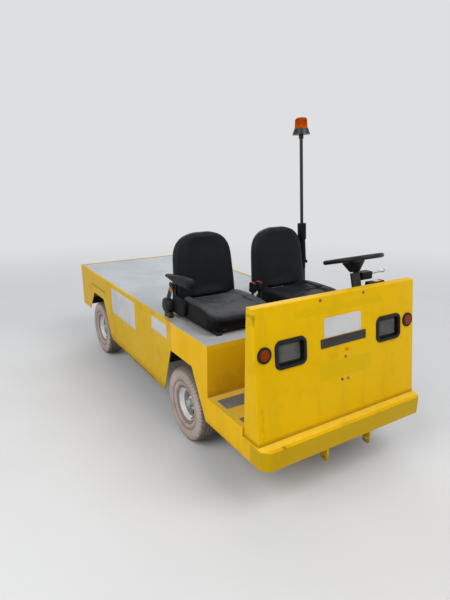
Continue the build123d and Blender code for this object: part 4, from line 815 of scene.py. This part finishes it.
# Bolts of the cowl and the tail
cowl_bolts = ((-0.148, 1.022), (0.15, 1.021), (0.018, 0.707), (-0.009, 0.591), (0.033, 0.588))
piece("cowl_bolts", [bolt(cowl_point(y, z), COWL_OUT, 0.0055, 0.005) for y, z in cowl_bolts], bolt_steel)
piece("tail_bolts", [bolt((TAIL_X, y, z), -X, 0.006, 0.005) for y in (-0.52, 0, 0.52) for z in (0.4, 0.69)],
      bolt_steel)

# Grip strips across the cab floor
piece("floor_grip_strips",
      [plate(((x0 + x1) / 2, 0, FLOOR_Z), X, Y, x1 - x0, 1.06, 0.006, slab(20, 0, 1.2, 1, 1.8))
       for x0, x1 in ((1.002, 1.105), (1.216, 1.293))], floor_grit)


def headlamp_glass():
    """Fluted lamp glass: a rounded rectangle whose face is lifted in level ribs by the size of a sine up it."""
    width, height, corner, recess = 0.137, 0.091, 0.01, -0.014
    rib_height, rib_pitch = 0.0016, 0.015
    layers = [(0.04, -0.006), (0, -0.006), (0, 0), (0.004, 0.003),
              *((inset, 0.003) for inset in np.linspace(0.008, 0.045, 30))]
    shapes = []
    for side in SIDES.values():
        origin = cowl_point(side * LAMP_Y, LAMP_Z, recess)
        rings = []
        for inset, lift in layers:
            flat = outline(width, height, corner, inset, 6, 40)
            rib = rib_height * np.abs(np.sin(flat[:, 1:] * math.pi / rib_pitch)) * (inset > 0.006)
            rings.append(origin + flat[:, :1] * Y + flat[:, 1:] * COWL_UP + (lift + rib) * COWL_OUT)
        shapes.append(skin(np.array(rings)))
    piece("headlamp_glass", shapes, lamp_glass)


def lamp_gap_shades():
    """Dark sheets that close the gap round each headlamp behind its bezel: painted shade standing in for the
    shaded inner wall of each lamp opening.
    """
    shade_sheet = mm((20, -19.5), (2, -19.5), (0, -18), (0, -16.2), (4, -16.2), (12, -18.5), (20, -18.5))
    shapes = [plate(cowl_point(side * LAMP_Y, LAMP_Z), Y, COWL_UP, 0.164, 0.116, 0.024, shade_sheet)
              for side in SIDES.values()]
    piece("lamp_gap_shades", shapes, lamp_gap_shade)


def beacon():
    """Ribbed beacon lens: a tapering turned cup whose radius swells in forty-eight ribs."""
    mast_length, ribs, rib_height = 1.15, 48, 0.001
    base, angle = MAST_FOOT + MAST_UP * mast_length, around(192)
    profile = np.array((
        # height and radius in millimetres, rib share
        (-2, 43, 0), (2, 43, 0), (5, 42.5, 1), (30, 41.2, 1), (52, 40.2, 1), (56, 40, 0), (61, 38.5, 0),
        (66, 34.5, 0), (69, 28, 0), (70, 18, 0),
    )) / (1000, 1000, 1)
    height, radius, ribbed = profile.T[..., None]
    radius = radius + ribbed * rib_height * (np.cos(angle * ribs) - 1)
    rings = base + height[..., None] * MAST_UP + radius[..., None] * circle(MAST_UP, Y, angle)
    piece("beacon_dome", [skin(rings)], amber, replaces=("beacon_lens",))


def mast_wrap():
    """Rubber sleeve round the mast's foot tube: a turned form with a thick collar on top, and a hinge knob."""
    sleeve = mm((200, 21.5), (204, 23.5), (243, 24), (246, 29), (256, 30), (300, 27), (405, 24), (410, 28.5),
                (415, 30), (517, 30), (522, 28.5), (523, 21.5))
    knob = mm((0, 10), (6, 10), (7, 6), (8, 6), (9, 11), (15, 11), (16, 8))
    out, hinge_height, hinge_out = np.array((0.45, 0.89, 0)), 0.25, 0.022
    hinge = MAST_FOOT + MAST_UP * hinge_height + out * hinge_out
    piece("mast_wrap", [turned(MAST_FOOT, MAST_UP, sleeve), turned(hinge, out, knob, 24)], cover_black)


def belts():
    """Belt retractor with its webbing outside the right seat, and two buckles on stalks between the seats."""
    case = mm((26, -23), (8, -22), (0, -15), (0, 10), (4, 19), (14, 24.5), (28, 26), (35, 26))
    foot = mm((10, -15), (0, -15), (0, 15), (10, 15))
    head = mm((12, -12), (3, -12), (0, -9), (0, 9), (3, 12), (12, 12))
    button = mm((4, -4), (0, -4), (0, 1.2), (1.5, 2.4), (6, 2.4))
    # the belt foot carries painted shade in its colour
    piece("belt_foot", [plate(RETRACTOR + (0.012, 0, -0.054), X, Z, 0.07, 0.036, 0.004, foot)], shadowed_foot_paint)
    cases, stalks, buttons = [plate(RETRACTOR, X, Z, 0.1, 0.096, 0.042, case)], [], []
    for side in SIDES.values():
        x, y = 0.6, side * 0.025
        rise = np.linspace((x, y, DECK_Z), (x, y, 0.885), 8)
        stalks.append(swept(rise, outline(0.024, 0.005, 0.002, arc=4), Y))
        cases.append(plate((x, y, 0.905), X, Z, 0.052, 0.066, 0.012, head))
        buttons.append(plate((x, y, 0.9365), X, Y, 0.04, 0.018, 0.005, button))
    web = (0.392, -0.519, 0.852) + np.linspace(0, 0.112, 12)[:, None] * unit((0.4, 0.075, 0.913))
    cases.append(swept(web[-3:], outline(0.054, 0.011, 0.004, arc=4), Y))
    piece("belt_cases", cases, black_plastic, replaces=("belt_hardware",))
    piece("belt_stalks", stalks, black_plastic)
    piece("buckle_buttons", buttons, red_button)
    band = outline(0.044, 0.0026, 0.001, arc=3)
    piece("belt_webbing", [swept(web[:7], band, Y)], black_plastic)
    piece("belt_webbing_end", [swept(web[6:10], band, Y)], orange_web)


def pedal_pads():
    """Ribbed rubber over the two pedal pads: a plate whose face carries level ribs."""
    lean, facing = np.array((-0.45, 0, 0.893)), unit((-0.82, 0, 0.572))
    up = np.cross(facing, Y)
    rib = mm((1.5, -0.5), (0, -0.5), (0, 1), (1.5, 1.8))
    shapes = []
    for y, width, height in ((0.195, 0.072, 0.058), (0.112, 0.056, 0.092)):
        middle = (1.365, y, 0.45) + lean * 0.12 + facing * 0.008
        shapes.append(plate(middle, Y, up, width - 0.002, height - 0.002, 0.008, slab(10, -1, 1, 2, 2)))
        face = middle + facing * 0.002
        for row in np.arange(-height / 2 + 0.01, height / 2 - 0.006, 0.008):
            shapes.append(plate(face + up * row, Y, up, width - 0.014, 0.004, 0.001, rib, arc=3))
    piece("pedal_rubbers", shapes, black_plastic)


def small_parts():
    """Wheel cap, tyre valves, dash labels, lever handle, and the tag under the right cushion's front edge."""
    column_tilt = math.radians(15.5)
    column = leaning(column_tilt)[1]
    cap = mm((-2, 40), (1, 40), (4, 36), (6, 26), (6.5, 12), (6.5, 4))
    hub = (1.144, 0.27, 1.15) - column * 0.005
    piece("horn_button", [turned(hub, column, cap)], black_plastic, "steering_wheel")
    stem = mm((0, 5.5), (10, 4.5), (12, 3.2), (28, 3.2), (28, 4.2), (36, 4.2), (37, 3))
    for wheel, (_, side, centre) in WHEELS.items():
        base = centre + (0.058, side * 0.018, -0.058)
        piece(f"valve_{wheel}", [turned(base, (0.25, side * 0.93, -0.25), stem, 16)], black_plastic,
              f"wheel_{wheel}")
    label = slab(6, 0, 0.8, 0.5, 1.2)
    piece("dash_label", [plate((1.276, 0.318, 1.048), X, Y, 0.03, 0.042, 0.003, label)], blank_white)
    piece("dash_label_red", [plate((1.276, 0.351, 1.048), X, Y, 0.03, 0.022, 0.003, label)], red_button)
    lever_start, lever_end = np.array((1.1697, 0.379, 1.0598)), np.array((1.1622, 0.503, 1.0616))
    handle = mm((0, 4.5), (0, 7), (2, 7.8), (104, 7.2), (110, 9.5), (117, 12), (127, 12.2), (134, 9.5),
                (137, 4))
    piece("lever_handle", [turned(lever_start, lever_end - lever_start, handle, 32)], bright_steel)
    tag = slab(4, -4, 0.4, 0.5, 0.8)
    piece("cushion_tag", [plate((0.8695, -0.398, 0.778), Y, Z, 0.03, 0.01, 0.002, tag)], orange_web)


headlamp_glass()
lamp_gap_shades()
beacon()
mast_wrap()
belts()
pedal_pads()
small_parts()

# Camera
yaw, pitch, roll = (math.radians(a) for a in (148.31, -16.26, 0.06))
looking = Vector((math.cos(pitch) * math.cos(yaw), math.cos(pitch) * math.sin(yaw), math.sin(pitch)))
level = Vector((math.sin(yaw), -math.cos(yaw), 0))
upward = level.cross(looking)
turned_level = level * math.cos(roll) + upward * math.sin(roll)
turned_up = upward * math.cos(roll) - level * math.sin(roll)
camera_data = bpy.data.cameras.new("camera")
camera_data.lens = 27.83
camera_data.sensor_width = 36
camera_data.clip_start = 0.05
camera_data.clip_end = 200
camera = put("camera", camera_data)
facing = Matrix((turned_level, turned_up, -looking)).transposed().to_4x4()
camera.matrix_world = Matrix.Translation((2.934, -1.673, 1.653)) @ facing
bpy.context.scene.camera = camera

# Floor, backdrop and lights
BACKDROP = tone(0.87, 0.875, 0.88)


def floor():
    """A wide round floor: plain pale grey near the vehicle, fading to the backdrop's tone far out."""
    count, fade_start, fade_end = 96, 2.6, 7.5
    flat = np.stack([np.cos(around(count)), np.sin(around(count)), np.zeros(count)], axis=-1)
    points, quads, fans = skin(np.array([radius * flat for radius in (0.5, 6, 80)]))
    middle_fan = fans[:count]
    mesh = bpy.data.meshes.new("floor")
    mesh.from_pydata(points.tolist(), [], quads.tolist() + middle_fan.tolist())
    made, tree, shader = start_material("studio_floor")
    place = here(tree)
    far = add(tree, "VectorMath", {0: place}, operation="LENGTH").outputs["Value"]
    colour = blend(tree, noise(tree, place, 2.0, 3.0), (0.8, 0.8, 0.8), (0.83, 0.83, 0.83))
    feed(tree, shader, {"Base Color": colour, "Roughness": 0.9})
    glow = add(tree, "Emission", {"Color": BACKDROP, "Strength": 1}).outputs[0]
    share = fade(tree, far, fade_start, fade_end)
    mixer = add(tree, "MixShader", {0: share, 1: shader.outputs[0], 2: glow})
    tree.links.new(mixer.outputs[0], tree.nodes["Material Output"].inputs[0])
    mesh.materials.append(made)
    put("floor", mesh)


def lamp(name, place, target, power, colour):
    """A square soft light aimed at a point."""
    data = bpy.data.lights.new(name, "AREA")
    data.size = 5.0
    data.energy = power
    data.color = colour
    aim = Vector(target) - Vector(place)
    put(name, data).matrix_world = Matrix.Translation(place) @ aim.to_track_quat("-Z", "Y").to_matrix().to_4x4()


floor()
world = bpy.data.worlds.new("world")
bpy.context.scene.world = world
world.use_nodes = True
sky = world.node_tree
sky.nodes.clear()
rays = add(sky, "LightPath").outputs
seen = calc(sky, "MAXIMUM", calc(sky, "MAXIMUM", rays["Is Camera Ray"], rays["Is Glossy Ray"]),
            rays["Is Transmission Ray"])
ambient = add(sky, "Background", {"Color": tone(0.93, 0.96, 1), "Strength": 0.42})
shown = add(sky, "Background", {"Color": BACKDROP, "Strength": 1})
mixed = add(sky, "MixShader", {0: seen, 1: ambient.outputs[0], 2: shown.outputs[0]})
add(sky, "OutputWorld", {0: mixed.outputs[0]})
lamp("key", (5.5, 1.8, 6.5), (0.2, 0, 0.5), 360, (1, 0.985, 0.96))
lamp("fill", (2.0, -5.8, 4.6), (0.3, 0, 0.4), 330, (1, 0.985, 0.97))
lamp("rear", (-5.5, 3.5, 5.0), (0, 0, 0.6), 170, (0.97, 0.98, 1))

bpy.context.scene.view_settings.view_transform = "Standard"
